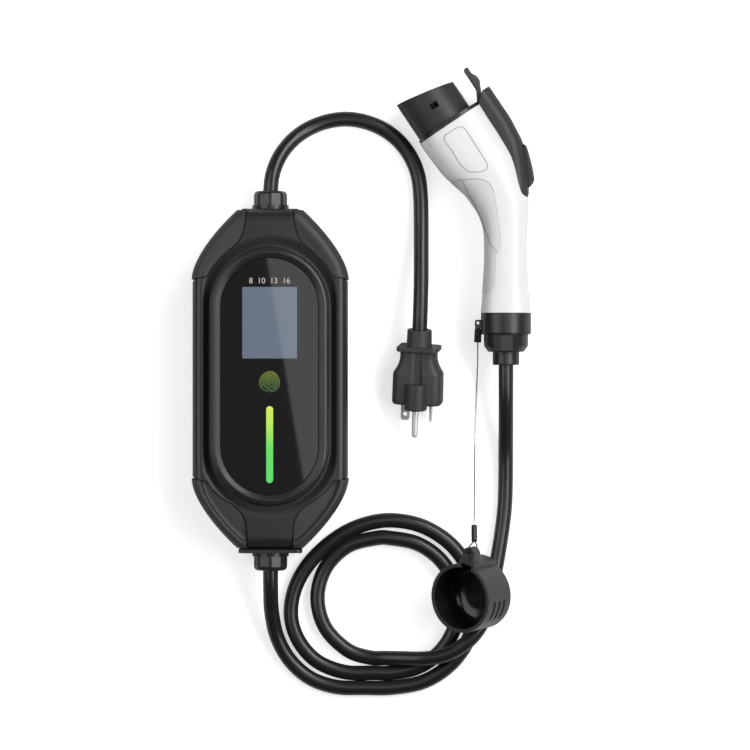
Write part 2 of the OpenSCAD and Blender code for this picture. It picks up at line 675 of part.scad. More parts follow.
// Nose: an open barrel with a slanted front, windows at its sides and a key rib below
carrier_d = 33;
nose_foot = 0.05;
foot_step = 0.6;       // the nose is a little narrower up to here
module nose_shroud() color(gloss) at_nose() difference() {
    union() {
        translate([0, 0, nose_foot]) cylinder(d = nose_d - 1.4, h = foot_step + 1);
        translate([0, 0, nose_foot + foot_step]) cylinder(d = nose_d, h = nose_long - foot_step);
    }
    // Slanted front
    translate([0, 0, nose_foot]) rotate([90, 0, 0]) linear_extrude(80, center = true)
        polygon([[nose_d / 2 + 0.01, nose_short], [-nose_d / 2 - 0.01, nose_long],
            [-nose_d / 2 - 0.01, 60], [nose_d / 2 + 0.01, 60]]);
    translate([0, 0, nose_foot + 3]) cylinder(d = nose_d - 2 * nose_wall, h = 60);
    translate([0, 0, -1]) cylinder(d = carrier_d + 2 * gap, h = 60);
    // Side windows
    translate([-2.9, -40, nose_foot + 12.5]) cube([5.8, 80, 4.4]);
    // Two grooves bound the key rib
    for (k = [-1, 1]) rotate([0, 0, 180 + k * 34]) translate([nose_d / 2, 0, nose_foot + 2])
        rotate([0, 0, 45]) translate([-0.55, -0.55, 0]) cube([1.1, 1.1, 60]);
}

// Contact places on the carrier's face: towards the latch and across
power_at = [[6.4, -7.85], [6.4, 7.85]];
signal_at = [[-4.4, -10.6], [-4.4, 10.6]];
ground_at = [[-10.2, 0]];
tower_l = 17;
module contact_carrier() color(gloss) at_nose() difference() {
    union() {
        translate([0, 0, -10]) cylinder(d = carrier_d, h = 13);
        for (p = power_at) translate([p.x, p.y, 0]) cylinder(r = 5, h = tower_l);
        for (p = signal_at) translate([p.x, p.y, 0]) cylinder(r = 3.4, h = tower_l);
        for (p = ground_at) translate([p.x, p.y, 0]) cylinder(r = 4.6, h = tower_l);
    }
    for (p = power_at) translate([p.x, p.y, -11]) cylinder(r = 3, h = 60);
    for (p = signal_at) translate([p.x, p.y, -11]) cylinder(r = 1.9, h = 60);
    for (p = ground_at) translate([p.x, p.y, -11]) cylinder(r = 2.6, h = 60);
}
module socket(p, outer, bore) translate([p.x, p.y, -14]) difference() {
    cylinder(r = outer, h = 14 + tower_l - 2);
    translate([0, 0, 10]) cylinder(r = bore, h = 40);
}
module power_sockets() color(brass) at_nose() for (p = power_at) socket(p, 3 - 0.05, 1.8);
module signal_sockets() color(brass) at_nose() for (p = signal_at) socket(p, 1.9 - 0.05, 0.75);
module ground_socket() color(brass) at_nose() socket(ground_at[0], 2.6 - 0.05, 1.4);

// Latch lever, in its rest position. The hook is drawn in the head's own frame: first the
// distance from the nose's axis, then the height over the nose's foot. The rest is drawn
// as seen from above.
function by_nose(v, u) = [nose_at.x + v * cos(nose_angle) - u * sin(nose_angle),
    nose_at.y + v * sin(nose_angle) + u * cos(nose_angle)];
pivot = [171.3, 185.6];
hook_line = [by_nose(27.5, -1.5), by_nose(32.7, 8), by_nose(32.7, 25.2), by_nose(36.5, 25.7),
    by_nose(36.6, 19.4), by_nose(38.5, 16.3), by_nose(38.7, 11.9), by_nose(36.9, 9),
    by_nose(35.5, 5.9), by_nose(31, -1.6)];
trigger_line = [[184.8, 171.5], [187, 169.3], [189, 162.6], [191.1, 154.3], [192.6, 145.9],
    [192, 143.1], [188.8, 139.2], [186.4, 141.6], [186.3, 150], [185, 157.6], [182.4, 165]];
arm_outer = [[160.6, 197.2], [169.6, 190.2], [173.6, 187.4], [177.4, 182.2]];
arm_inner = [[179.6, 169.8], [170.4, 181.6], [167.4, 184.6], [157, 193.4], [151.8, 197.6]];
hub_d = 9;
module lever_plan() {
    polygon(concat(hook_line, arm_outer, trigger_line, arm_inner));
    translate(pivot) circle(d = hub_d, $fn = 12);
}

module latch_lever() color(charcoal) difference() {
    union() {
        translate([0, 0, conn_z - lever_t / 2]) linear_extrude(lever_t)
            polygon(concat(hook_line, arm_outer, trigger_line, arm_inner));
        translate([pivot.x, pivot.y, conn_z - lever_t / 2]) cylinder(d = hub_d, h = lever_t);
    }
    translate([pivot.x, pivot.y, 0]) cylinder(d = pivot_d + 0.12, h = 60);
}

// The room that the lever needs on its way from rest to fully pressed
space_steps = 7;
module lever_space() translate([0, 0, conn_z - lever_t / 2 - run_gap]) linear_extrude(lever_t + 2 * run_gap)
    offset(delta = run_gap) for (i = [0 : space_steps]) turned(-1.1 * lever_turn * i / space_steps) lever_plan();
module turned(a) translate(pivot) rotate(a) translate(-pivot) children();

module latch_pin() color(metal) translate([pivot.x, pivot.y, conn_z - cover_w / 2 + 2.4])
    cylinder(d = pivot_d, h = cover_w - 4.8);

// Torsion spring round the pivot pin, beside the lever
spring_wire = 0.9;
spring_d = pivot_d + 1.4 + spring_wire;
spring_room = run_gap + 0.6 + 3 * spring_wire;
module latch_spring() color(metal) translate([pivot.x, pivot.y, conn_z + lever_t / 2 + run_gap + 0.3])
    for (i = [0 : 2]) translate([0, 0, spring_wire * (i + 0.5) * 1.02]) rotate_extrude($fn = 32)
        translate([pivot_d / 2 + 0.7, 0]) circle(d = spring_wire, $fn = 16);

// Switch that the lever's rear end works
module latch_switch() color(gloss) translate([168, 158, conn_z - 3]) rotate([0, 0, -62])
    translate([-6, -3, 0]) cube([12, 5, 6]);

// Black cover along the top of the head
module latch_cover() color(black) difference() {
    intersection() {
        translate([0, 0, conn_z - cover_w / 2]) linear_extrude(cover_w) cover_side();
        // Rounded across
        cover_round();
    }
    for (k = [0, 1]) cover_seat(k);
    lever_space();
    flange_plate(gap);
    translate([pivot.x, pivot.y, conn_z - cover_w / 2 + 2.3]) cylinder(d = pivot_d + 0.1, h = cover_w - 4.6);
    // Room for the spring
    translate([pivot.x, pivot.y, conn_z + lever_t / 2]) cylinder(d = spring_d + 1, h = spring_room);
}
module cover_side() polygon([by_nose(28.3, -1.8), by_nose(35.4, 4.7), by_nose(41.9, 4.7),
    [164.2, 206.8], [169.2, 199.3], [174.3, 191.8], [179.3, 182.6], [183.5, 174.1], [184.9, 168],
    [186, 162], [187.6, 150], [188.3, 141], [188.7, 132], [180, 132], [150, 160], [140, 190]]);
module cover_round() hull() for (k = [-1, 1]) {
    translate([0, 0, conn_z + k * (cover_w / 2 - slice)]) linear_extrude(slice, center = true)
        offset(delta = -3.6) cover_hull();
    translate([0, 0, conn_z + k * (cover_w / 2 - 3.6)]) linear_extrude(slice, center = true)
        offset(delta = -0.6) cover_hull();
    translate([0, 0, conn_z + k * (cover_w / 2 - 8)]) linear_extrude(slice, center = true) cover_hull();
}
module cover_hull() hull() {
    cover_side();
    translate([110, 120]) square([10, 40]);
}
module cover_seat(k) if (k == 0) half_handle(-gap, 1, 0, 11); else flip() half_handle(-gap, 1, 0, 11);

// Tail: collar, clamp nut and bend sleeve round the cable
tail_y = 48.2;
collar_l = 15.2;
nut_l = 13;
nut_d = 32.4;
sleeve_tail_l = 9.6;
module at_tail(y) translate([172, y, conn_z]) rotate([90, 0, 0]) children();
module tail_collar() color(gloss) at_tail(tail_y - 0.05) difference() {
    union() {
        cylinder(d = tail_d + 0.2, h = collar_l * 0.72);
        cylinder(d = tail_d - 1.8, h = collar_l);
    }
    translate([0, 0, -1]) cylinder(d = cable_d + 0.8, h = collar_l + 2);
}
module clamp_nut() color(gloss) at_tail(tail_y - collar_l - 0.1) difference() {
    union() {
        intersection() {
            cylinder(d1 = nut_d, d2 = nut_d - 1.4, h = nut_l);
            rotate_extrude() polygon([[0, 0], [nut_d / 2, 0], [nut_d / 2, nut_l - 3.2],
                [nut_d / 2 - 2.6, nut_l], [0, nut_l]]);
        }
        for (i = [0 : 5]) rotate([0, 0, 60 * i]) translate([nut_d / 2 - 2, -4.5, 0])
            cube([2.6, 9, nut_l - 3.6]);
    }
    translate([0, 0, -1]) cylinder(d = cable_d + 0.8, h = nut_l + 2);
}
module bend_sleeve() color(gloss) at_tail(tail_y - collar_l - nut_l - 0.15) difference() {
    cylinder(d1 = 19.2, d2 = 17.8, h = sleeve_tail_l);
    translate([0, 0, -1]) cylinder(d = cable_d + 0.6, h = 40);
}

// Lanyard: clip on the collar, ferrules, wire, and the cap's lug
clip_at = [151.4, 40.4];
module lanyard_clip() color(gloss) difference() {
    translate([0, 0, conn_z - 1.5]) linear_extrude(3) hull() {
        translate(clip_at) circle(d = 5.2);
        for (y = [38.2, 43.6]) translate([clip_at.x + 5, y]) circle(d = 3);
    }
    translate([clip_at.x, clip_at.y, 0]) cylinder(d = 2.7, h = 60);
    at_tail(tail_y + 10) cylinder(d = tail_d + 0.5, h = 40);
}

ferrule_d = 4.2;
wire_route = [[151.4, 30.2, 22.89], [151.4, 27, 22.03], [151.5, 21.5, 18.6], [151.6, 14.5, 12.6],
    [151.5, 6, 6], [151.2, -4, 2], [150.8, -15, 0.7], [150.4, -26, 0.6], [150, -37, 1],
    [149.7, -48, 4.2], [149.4, -58, 10.4], [149.1, -67, 18.4], [148.9, -76, 27.8], [148.6, -84, 36.4],
    [148.4, -91, 43.6], [148.25, -97, 48.9], [148.15, -102.3, 52.4], [148.1, -106.04, 53.94],
    [148.1, -110.3, 55.63]];
module upper_ferrule() color(gloss) {
    translate([151.4, 36.6, 24.6]) rotate([105, 0, 0]) difference() {
        cylinder(d = ferrule_d, h = 9);
        translate([0, 0, 6]) cylinder(d = wire_d + 0.2, h = 10);
    }
    // Loop of wire through the clip's eye
    translate([151.4, 37.6, 25]) rotate([0, 90, 0]) rotate_extrude($fn = 32) translate([2.6, 0])
        circle(d = 0.7, $fn = 12);
}
module lanyard_wire() color(metal) tube(wire_route, wire_d, 8);
ferrule_l = 12;
// Ferrule at the cap's end of the wire, and its loop of wire through the lug's hole. The
// loop is drawn by the distance from the cap's axis and the height over the lug's face.
loop_line = [[44.6, -3.4], [42.9, -3], [39.8, 0.9], [37.2, 1.5], [35, 0.9], [34.5, -1], [34.5, -7],
    [35, -8.9], [37.2, -9.5], [39.8, -8.9], [42.9, -5], [44.6, -4.6]];
module lower_ferrule() color(gloss) {
    translate([148.1, -106.04, 53.94]) rotate([68.4, 0, 0]) difference() {
        cylinder(d = ferrule_d, h = ferrule_l);
        translate([0, 0, -1]) cylinder(d = wire_d + 0.3, h = 6.6);
    }
    at_cap() rotate([90, 0, 0]) tube([for (p = loop_line) [p.x, p.y, 0]], wire_d, 8);
}

// Dust cap, drawn with its mouth at the top of its own frame, and leaned on the cable
cap_at = [137.7, -159, 50.7];
cap_lean = 36;
cap_heading = 8.6;
cap_clock = 66.5;
module at_cap() translate(cap_at) rotate([0, 0, cap_heading]) rotate([0, -cap_lean, 0])
    rotate([0, 0, cap_clock]) children();
cap_floor = 2.6;
hump_w = 14;
hump_r = cap_d / 2 + 3.2;
lug_out = 5.2;         // distance of the lug's hole from the ridge
lug_r = 5.2;
lug_t = 8;
lug_hole = 4.2;
module dust_cap() color(rubber) at_cap() difference() {
    union() {
        translate([0, 0, -cap_l]) cylinder(d = cap_d, h = cap_l);
        // Hollow ridge that clears the hook
        translate([0, -hump_w / 2, -cap_l + 4]) cube([hump_r, hump_w, cap_l - 4]);
        // Lug for the lanyard
        translate([hump_r + lug_out, 0, -lug_t]) cylinder(r = lug_r, h = lug_t);
        translate([hump_r - 2, -lug_r, -lug_t]) cube([lug_out + 2, 2 * lug_r, lug_t]);
    }
    translate([0, 0, -cap_l + cap_floor]) cylinder(d = cap_bore, h = cap_l);
    translate([cap_bore / 2 - 5, -hump_w / 2 + 2.4, -cap_l + 6.4])
        cube([hump_r - cap_bore / 2 + 2.6, hump_w - 4.8, cap_l]);
    translate([hump_r + lug_out, 0, -20]) cylinder(d = lug_hole, h = 40);
    // Three drain slots in the wall
    for (i = [0 : 2]) translate([0, 0, -9 - 6 * i]) rotate([0, 0, -115]) rotate_extrude(angle = 34)
        translate([cap_d / 2 - 1, 0]) square([3, 1.2]);
}

rear_shell();
front_shell();
shell_seal();
guard_upper_left();
guard_upper_right();
guard_lower_left();
guard_lower_right();
glass_panel();
display_module();
light_pipe();
touch_board();
main_board();
relays();
power_module();
leak_sensor();
terminal_block();
case_screws();
end_plate();
inlet_gland();
inlet_nut();
outlet_gland();
outlet_nut();
gland_seals();
input_lead();
plug_body();
blade_flat();
blade_upright();
ground_pin();
charge_cable();
handle_upper();
handle_lower();
grip_upper();
grip_lower();
head_flange();
nose_shroud();
contact_carrier();
power_sockets();
ground_socket();
signal_sockets();
latch_cover();
latch_lever();
latch_pin();
latch_spring();
latch_switch();
tail_collar();
clamp_nut();
bend_sleeve();
handle_screws();
lanyard_clip();
upper_ferrule();
lanyard_wire();
lower_ferrule();
dust_cap();
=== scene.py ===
import json
from math import copysign, cos, pi, radians, sin, sqrt

import bmesh
import bpy
from mathutils import Matrix, Vector


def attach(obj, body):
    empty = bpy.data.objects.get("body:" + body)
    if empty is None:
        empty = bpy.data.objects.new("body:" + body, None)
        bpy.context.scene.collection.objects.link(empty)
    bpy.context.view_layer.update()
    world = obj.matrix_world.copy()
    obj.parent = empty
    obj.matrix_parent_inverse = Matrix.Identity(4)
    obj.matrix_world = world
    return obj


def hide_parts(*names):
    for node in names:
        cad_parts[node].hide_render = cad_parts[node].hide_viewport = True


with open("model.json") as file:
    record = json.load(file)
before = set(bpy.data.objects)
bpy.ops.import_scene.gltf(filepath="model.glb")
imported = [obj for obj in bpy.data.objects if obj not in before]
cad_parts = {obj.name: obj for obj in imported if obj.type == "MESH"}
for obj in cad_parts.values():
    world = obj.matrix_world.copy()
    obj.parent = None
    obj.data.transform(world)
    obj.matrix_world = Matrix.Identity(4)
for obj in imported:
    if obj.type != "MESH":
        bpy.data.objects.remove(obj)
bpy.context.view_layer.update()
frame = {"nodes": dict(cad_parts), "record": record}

scene = bpy.context.scene
scene.view_settings.view_transform = "Standard"
BODY = "set"

# Camera: straight over the set, with the photograph's up along +Y
CAMERA_AT = (0.0763, 0.0029, 3.227)
LENS = 210.4
camera_data = bpy.data.cameras.new("camera")
camera_data.lens = LENS
camera_data.sensor_width = 36
camera_data.clip_end = 20
camera = bpy.data.objects.new("camera", camera_data)
camera.location = CAMERA_AT
scene.collection.objects.link(camera)
scene.camera = camera


# Materials

def socket(node, name, value):
    node.inputs[name].default_value = value


LOOKS = {}


def material(name, colour, rough, metallic=0.0, specular=0.5):
    """Adds a principled look, and returns its nodes, links and shader for what else it gets."""
    made = bpy.data.materials.new(name)
    made.use_nodes = True
    nodes = made.node_tree.nodes
    shader = nodes["Principled BSDF"]
    socket(shader, "Base Color", (*colour, 1))
    socket(shader, "Roughness", rough)
    socket(shader, "Metallic", metallic)
    socket(shader, "Specular IOR Level", specular)
    made.diffuse_color = (*colour, 1)
    LOOKS[name] = made
    return nodes, made.node_tree.links, shader


def place(nodes):
    return nodes.new("ShaderNodeTexCoord").outputs["Object"]


def noise(nodes, links, scale, detail=3.0):
    made = nodes.new("ShaderNodeTexNoise")
    socket(made, "Scale", scale)
    socket(made, "Detail", detail)
    socket(made, "Roughness", 0.55)
    links.new(place(nodes), made.inputs["Vector"])
    return made.outputs["Fac"]


def spread(nodes, links, value, low, high, start=0.0, end=1.0, shape="LINEAR"):
    """Maps a value that runs from a start to an end to a low and a high number."""
    made = nodes.new("ShaderNodeMapRange")
    made.interpolation_type = shape
    for name, number in (("From Min", start), ("From Max", end), ("To Min", low), ("To Max", high)):
        socket(made, name, number)
    links.new(value, made.inputs["Value"])
    return made.outputs["Result"]


def grain(nodes, links, shader, scale, depth, strength):
    """Moulded surface grain of a depth in metres."""
    bump = nodes.new("ShaderNodeBump")
    socket(bump, "Strength", strength)
    socket(bump, "Distance", depth)
    links.new(noise(nodes, links, scale, 2.0), bump.inputs["Height"])
    links.new(bump.outputs["Normal"], shader.inputs["Normal"])


def plastic(name, colour, rough, vary=0.05, scale=900.0, depth=0.00006, tint=0.12, metallic=0.0):
    """Moulded plastic or rubber: grain, uneven gloss and a little colour variation."""
    nodes, links, shader = material(name, colour, rough, metallic)
    links.new(spread(nodes, links, noise(nodes, links, 60.0), rough - vary, rough + vary),
              shader.inputs["Roughness"])
    mix = nodes.new("ShaderNodeMix")
    mix.data_type = "RGBA"
    mix.inputs["A"].default_value = (*[c * (1 - tint) for c in colour], 1)
    mix.inputs["B"].default_value = (*[min(1, c * (1 + tint)) for c in colour], 1)
    links.new(noise(nodes, links, 35.0, 4.0), mix.inputs["Factor"])
    links.new(mix.outputs["Result"], shader.inputs["Base Color"])
    if depth:
        grain(nodes, links, shader, scale, depth, 0.4)


def metal(name, colour, rough):
    nodes, links, shader = material(name, colour, rough, 1.0)
    links.new(spread(nodes, links, noise(nodes, links, 400.0), rough - 0.08, rough + 0.1),
              shader.inputs["Roughness"])
    grain(nodes, links, shader, 700.0, 0.00002, 0.3)


def ramp(nodes, links, factor, stops):
    made = nodes.new("ShaderNodeValToRGB")
    bar = made.color_ramp
    while len(bar.elements) < len(stops):
        bar.elements.new(0.5)
    for element, (at, colour) in zip(bar.elements, stops):
        element.position = at
        element.color = (*colour, 1)
    links.new(factor, made.inputs["Fac"])
    return made.outputs["Color"]


def upright_fade(name, top, foot, stops, rough, glow=0.0):
    """Colours that run from a top down to a foot, given as places along Y in metres."""
    nodes, links, shader = material(name, stops[0][1], rough)
    split = nodes.new("ShaderNodeSeparateXYZ")
    links.new(place(nodes), split.inputs["Vector"])
    colour = ramp(nodes, links, spread(nodes, links, split.outputs["Y"], 0.0, 1.0, top, foot), stops)
    links.new(colour, shader.inputs["Base Color"])
    if glow:
        links.new(colour, shader.inputs["Emission Color"])
        socket(shader, "Emission Strength", glow)


TOUCH_SPAN = (0.0055, -0.0097)
plastic("case_black", (0.018, 0.018, 0.019), 0.36, scale=1500.0)
plastic("guard_rubber", (0.030, 0.030, 0.032), 0.52, scale=1300.0, depth=0.0001)
plastic("seal_rubber", (0.02, 0.02, 0.02), 0.6)
plastic("front_glass", (0.0145, 0.0145, 0.0150), 0.025, vary=0.006, depth=0)
plastic("display", (0.19, 0.24, 0.29), 0.2)
plastic("display_window", (0.15, 0.19, 0.243), 0.03, vary=0.006, depth=0, tint=0.02)
plastic("print_white", (0.55, 0.55, 0.56), 0.4, depth=0)
upright_fade("light_bar", -0.0193, -0.0757, [
    (0.0, (0.60, 0.72, 0.11)), (0.25, (0.40, 0.70, 0.10)), (0.55, (0.12, 0.62, 0.11)),
    (1.0, (0.09, 0.63, 0.13))], 0.25, glow=0.2)
upright_fade("touch_lines", *TOUCH_SPAN, [
    (0.0, (0.27, 0.31, 0.02)), (0.45, (0.13, 0.22, 0.03)), (1.0, (0.06, 0.13, 0.04))], 0.3)
upright_fade("touch_disc", *TOUCH_SPAN, [
    (0.0, (0.055, 0.07, 0.012)), (0.5, (0.022, 0.05, 0.014)), (1.0, (0.012, 0.03, 0.012))], 0.15)
plastic("circuit_board", (0.02, 0.13, 0.05), 0.4)
plastic("component_plastic", (0.05, 0.06, 0.09), 0.4)
plastic("coil", (0.25, 0.14, 0.06), 0.4)
metal("steel", (0.62, 0.62, 0.64), 0.3)
plastic("gland_black", (0.016, 0.016, 0.017), 0.3, scale=1500.0)
plastic("cable_jacket", (0.014, 0.014, 0.015), 0.3, scale=1100.0, depth=0.000015)
plastic("plug_charcoal", (0.035, 0.035, 0.037), 0.5, scale=1200.0)
plastic("pin_nickel", (0.80, 0.80, 0.79), 0.3, depth=0.00001, metallic=0.45)
plastic("handle_white", (0.80, 0.80, 0.81), 0.34, tint=0.015, scale=1500.0, depth=0.00003)
# Grey of painted shade in the handle's grooves
plastic("groove_painted_shade_grey", (0.40, 0.40, 0.41), 0.5, depth=0)
plastic("grip_grey", (0.72, 0.72, 0.73), 0.45, tint=0.03, scale=1300.0)
plastic("head_black", (0.016, 0.016, 0.017), 0.34, scale=1500.0)
plastic("nose_black", (0.020, 0.020, 0.021), 0.5, scale=1500.0)
plastic("lever_charcoal", (0.045, 0.045, 0.046), 0.45, scale=1500.0)
# Black of the trigger, also used as painted shade inside the cap and in its slots
plastic("trigger_black_and_painted_shade", (0.008, 0.008, 0.008), 0.18, depth=0)
metal("contact_metal", (0.5, 0.44, 0.3), 0.35)
plastic("cap_rubber", (0.032, 0.032, 0.033), 0.36, scale=1300.0)
LOOKS["light_guide"] = LOOKS["light_bar"]
SLOTS = {row["node"]: row["material_slot"] for row in frame["record"]["subparts"]}
for name, obj in frame["nodes"].items():
    obj.data.materials.clear()
    obj.data.materials.append(LOOKS["nose_black" if name == "nose_shroud" else SLOTS[name]])


def paint(obj, slot, look=None):
    obj.data.materials.clear()
    obj.data.materials.append(LOOKS[look or slot])


# Cords

def mm(points):
    return [Vector(p) / 1000 for p in points]


def between(a, b, c, d, t):
    return 0.5 * (2 * b + (c - a) * t + (2 * a - 5 * b + 4 * c - d) * t * t
                  + (3 * b - a - 3 * c + d) * t ** 3)


def smooth(points, steps):
    """A curve through the points, with that many steps between neighbours."""
    points = [Vector(p) for p in points]
    last = len(points) - 1
    made = []
    for i in range(last):
        four = [points[max(i - 1, 0)], points[i], points[i + 1], points[min(i + 2, last)]]
        made += [between(*four, j / steps) for j in range(steps)]
    return made + [points[last]]


def length_of(points):
    return sum((b - a).length for a, b in zip(points, points[1:]))


def cord_curve(name, points, diameter, slot, sides=6):
    curve = bpy.data.curves.new(name, "CURVE")
    curve.dimensions = "3D"
    curve.bevel_depth = diameter / 2
    curve.bevel_resolution = sides
    curve.use_fill_caps = True
    line = curve.splines.new("POLY")
    line.points.add(len(points) - 1)
    for point, at in zip(line.points, points):
        point.co = (*at, 1)
    line.use_smooth = True
    obj = bpy.data.objects.new(name, curve)
    scene.collection.objects.link(obj)
    paint(obj, slot)
    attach(obj, BODY)
    return obj


CABLE = 0.011
WIRE = 0.001
INPUT_ROUTE = mm([
    (0, 118, 24), (0, 136, 24), (1.6, 150, 22.4), (7, 163.5, 18.2), (15.8, 175, 12.8),
    (27.2, 183.6, 8.4), (40.5, 189, 6.2), (54.7, 191, 5.6), (69, 189, 5.5), (82.2, 183.6, 5.5),
    (93.6, 175, 5.5), (102.3, 163.5, 5.5), (107.8, 150, 5.5), (109.8, 134, 5.8), (110.2, 114, 8.4),
    (110.2, 94, 13.6), (110.1, 74, 19.2), (109.7, 58, 22.6), (109.3, 46, 23.6), (108.96, 36.4, 22.55),
    (108.87, 33.4, 22.02)])
CHARGE_ROUTE = mm([
    (0, -118, 24), (0, -138, 24), (0, -154, 21.6), (0.6, -171, 15), (4.6, -190, 8.6),
    (14, -207, 5.8), (29, -220, 5.5), (48, -226.4, 5.5), (68, -227, 5.5), (89.5, -226.8, 5.5),
    (112.9, -222.1, 5.5), (132.8, -208.8, 5.5), (146.1, -188.9, 5.5), (150.8, -165.5, 5.5),
    (146.1, -142.1, 5.5), (132.8, -122.2, 5.5), (112.9, -108.9, 5.5), (92, -104, 5.5),
    (74, -105.4, 5.5), (56, -112, 5.5), (39.5, -123.5, 5.5), (25.6, -138.5, 5.5),
    (16.8, -156, 5.5), (14.6, -175, 5.5), (20.6, -193, 5.5), (34, -207.6, 5.5),
    (54, -215.4, 5.5), (75, -216, 5.5), (88, -216, 5.5), (106.9, -212.2, 5.5),
    (123, -201.5, 5.5), (133.7, -185.4, 5.5), (137.5, -166.5, 5.5), (133.7, -147.6, 5.5),
    (123, -131.5, 5.5), (106.9, -120.8, 5.5), (88, -117, 5.5), (77, -117, 5.5),
    (56, -122.9, 5.5), (39.9, -139, 5.5), (34, -161, 5.5), (39.9, -183, 5.5),
    (56, -199.1, 5.5), (72, -204.6, 5.6), (84, -205, 7.4), (97, -205, 11.8),
    (110.8, -205, 16), (123.7, -203.3, 17), (135.8, -198.3, 17), (146.2, -190.4, 16.8),
    (154.1, -180, 16), (159.1, -167.9, 14.6), (162.4, -152, 12.6), (165.8, -134, 9.6),
    (169.2, -114, 6.8), (171.6, -94, 5.6), (172.3, -74, 5.7), (172.3, -54, 8.3),
    (172.2, -34, 15.4), (172, -14, 22.6), (172, 4, 24.9), (172, 24, 25), (172, 62, 25)])
WIRE_ROUTE = mm([
    (151.4, 30.2, 22.89), (151.4, 27, 22.03), (151.5, 21.5, 18.6), (151.6, 14.5, 12.6),
    (151.5, 6, 6), (151.2, -4, 2), (150.8, -15, 0.7), (150.4, -26, 0.6), (150, -37, 1),
    (149.7, -48, 4.2), (149.4, -58, 10.4), (149.1, -67, 18.4), (148.9, -76, 27.8), (148.6, -84, 36.4),
    (148.4, -91, 43.6), (148.25, -97, 48.9), (148.15, -102.3, 52.4), (148.1, -106.04, 53.94),
    (148.1, -110.3, 55.63)])

input_line = smooth(INPUT_ROUTE, 6)
input_lead = cord_curve("input_cord", input_line, CABLE, "cable_jacket")
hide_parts("input_lead")
charge_line = smooth(CHARGE_ROUTE, 5)
charge_cable = cord_curve("charge_cord", charge_line, CABLE, "cable_jacket")
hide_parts("charge_cable")
wire_line = smooth(WIRE_ROUTE, 4)
wire = cord_curve("wire_cord", wire_line, WIRE, "steel", 3)
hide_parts("lanyard_wire")
print("lengths", [round(length_of(line), 4) for line in (input_line, charge_line, wire_line)])


# Mesh helpers. Shapes are given in millimetres.

def mesh_piece(name, points, faces):
    mesh = bpy.data.meshes.new(name)
    mesh.from_pydata([Vector(p) / 1000 for p in points], [], faces)
    work = bmesh.new()
    work.from_mesh(mesh)
    bmesh.ops.recalc_face_normals(work, faces=work.faces)
    work.to_mesh(mesh)
    work.free()
    obj = bpy.data.objects.new(name, mesh)
    scene.collection.objects.link(obj)
    return obj


def side_faces(count, rows, closed=False):
    """Quads between rings of equal point counts."""
    faces = []
    for k in range(rows if closed else rows - 1):
        low, high = k * count, (k + 1) % rows * count
        for i in range(count):
            j = (i + 1) % count
            faces.append([low + i, low + j, high + j, high + i])
    return faces


def skin(name, rings):
    """Closed mesh over a row of rings, with flat ends."""
    count = len(rings[0])
    last = (len(rings) - 1) * count
    ends = [list(range(count)), [last + i for i in range(count)]]
    return mesh_piece(name, [p for ring in rings for p in ring], side_faces(count, len(rings)) + ends)


def wreath(name, rings):
    """Closed mesh over rings that come back to the first one."""
    return mesh_piece(name, [p for ring in rings for p in ring], side_faces(len(rings[0]), len(rings), True))


def mirrored(obj, name, x=1, y=1, z=1, z_middle=0.0):
    """A copy mirrored through the planes with a factor of -1."""
    mesh = obj.data.copy()
    mesh.name = name
    for vertex in mesh.vertices:
        co = vertex.co
        vertex.co = (co.x * x, co.y * y, z_middle + (co.z - z_middle) * z)
    if x * y * z < 0:
        mesh.flip_normals()
    made = bpy.data.objects.new(name, mesh)
    scene.collection.objects.link(made)
    return made


def apply_modifiers(obj):
    graph = bpy.context.evaluated_depsgraph_get()
    made = bpy.data.meshes.new_from_object(obj.evaluated_get(graph))
    obj.modifiers.clear()
    old = obj.data
    obj.data = made
    bpy.data.meshes.remove(old)


def remove(obj):
    mesh = obj.data
    bpy.data.objects.remove(obj)
    bpy.data.meshes.remove(mesh)


def combine(obj, tool, how="DIFFERENCE", keep=False):
    """Applies a boolean with a tool, which is removed unless it is kept."""
    step = obj.modifiers.new("combine", "BOOLEAN")
    step.operation = how
    step.solver = "EXACT"
    step.object = tool
    apply_modifiers(obj)
    if not keep:
        remove(tool)
    return obj


def smooth_shade(obj, angle=32.0):
    """Smooth shading that keeps the edges sharper than the angle."""
    work = bmesh.new()
    work.from_mesh(obj.data)
    bmesh.ops.remove_doubles(work, verts=work.verts, dist=1e-6)
    limit = radians(angle)
    for face in work.faces:
        face.smooth = True
    for edge in work.edges:
        edge.smooth = len(edge.link_faces) == 2 and edge.calc_face_angle(0) < limit
    work.to_mesh(obj.data)
    work.free()
    step = obj.modifiers.new("flat faces stay flat", "WEIGHTED_NORMAL")
    step.keep_sharp = True


def finished(obj, slot, *nodes, body=BODY, look=None, angle=32.0):
    """Shades, paints and mounts a piece, and puts it in the place of CAD nodes."""
    smooth_shade(obj, angle)
    paint(obj, slot, look)
    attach(obj, body)
    if nodes:
        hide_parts(*nodes)
    return obj


def outward(points):
    """Unit normals of a closed plan outline that runs counter-clockwise."""
    made = []
    for i in range(len(points)):
        along = Vector(points[(i + 1) % len(points)]) - Vector(points[i - 1])
        along.normalize()
        made.append(Vector((along.y, -along.x)))
    return made


def drawn_in(points, inset):
    return [Vector(p) - n * inset for p, n in zip(points, outward(points))]


def prism(name, points, low, high):
    return skin(name, [[(p[0], p[1], z) for p in points] for z in (low, high)])


def circle(radius, sides, x=0.0, y=0.0):
    turns = [2 * pi * i / sides for i in range(sides)]
    return [Vector((x + radius * cos(a), y + radius * sin(a))) for a in turns]


def bore(name, x, y, low, high, radius, sides=32):
    return prism(name, circle(radius, sides, x, y), low, high)


def lathe(name, rows, sides=96, x=0.0, y=0.0):
    """A round piece about an upright axis, from its radius at each height."""
    return skin(name, [[(*p, z) for p in circle(radius, sides, x, y)] for z, radius in rows])


def box_plan(half_x, half_y, x=0.0, y=0.0):
    return [Vector((x + a * half_x, y + b * half_y)) for a, b in ((1, -1), (1, 1), (-1, 1), (-1, -1))]


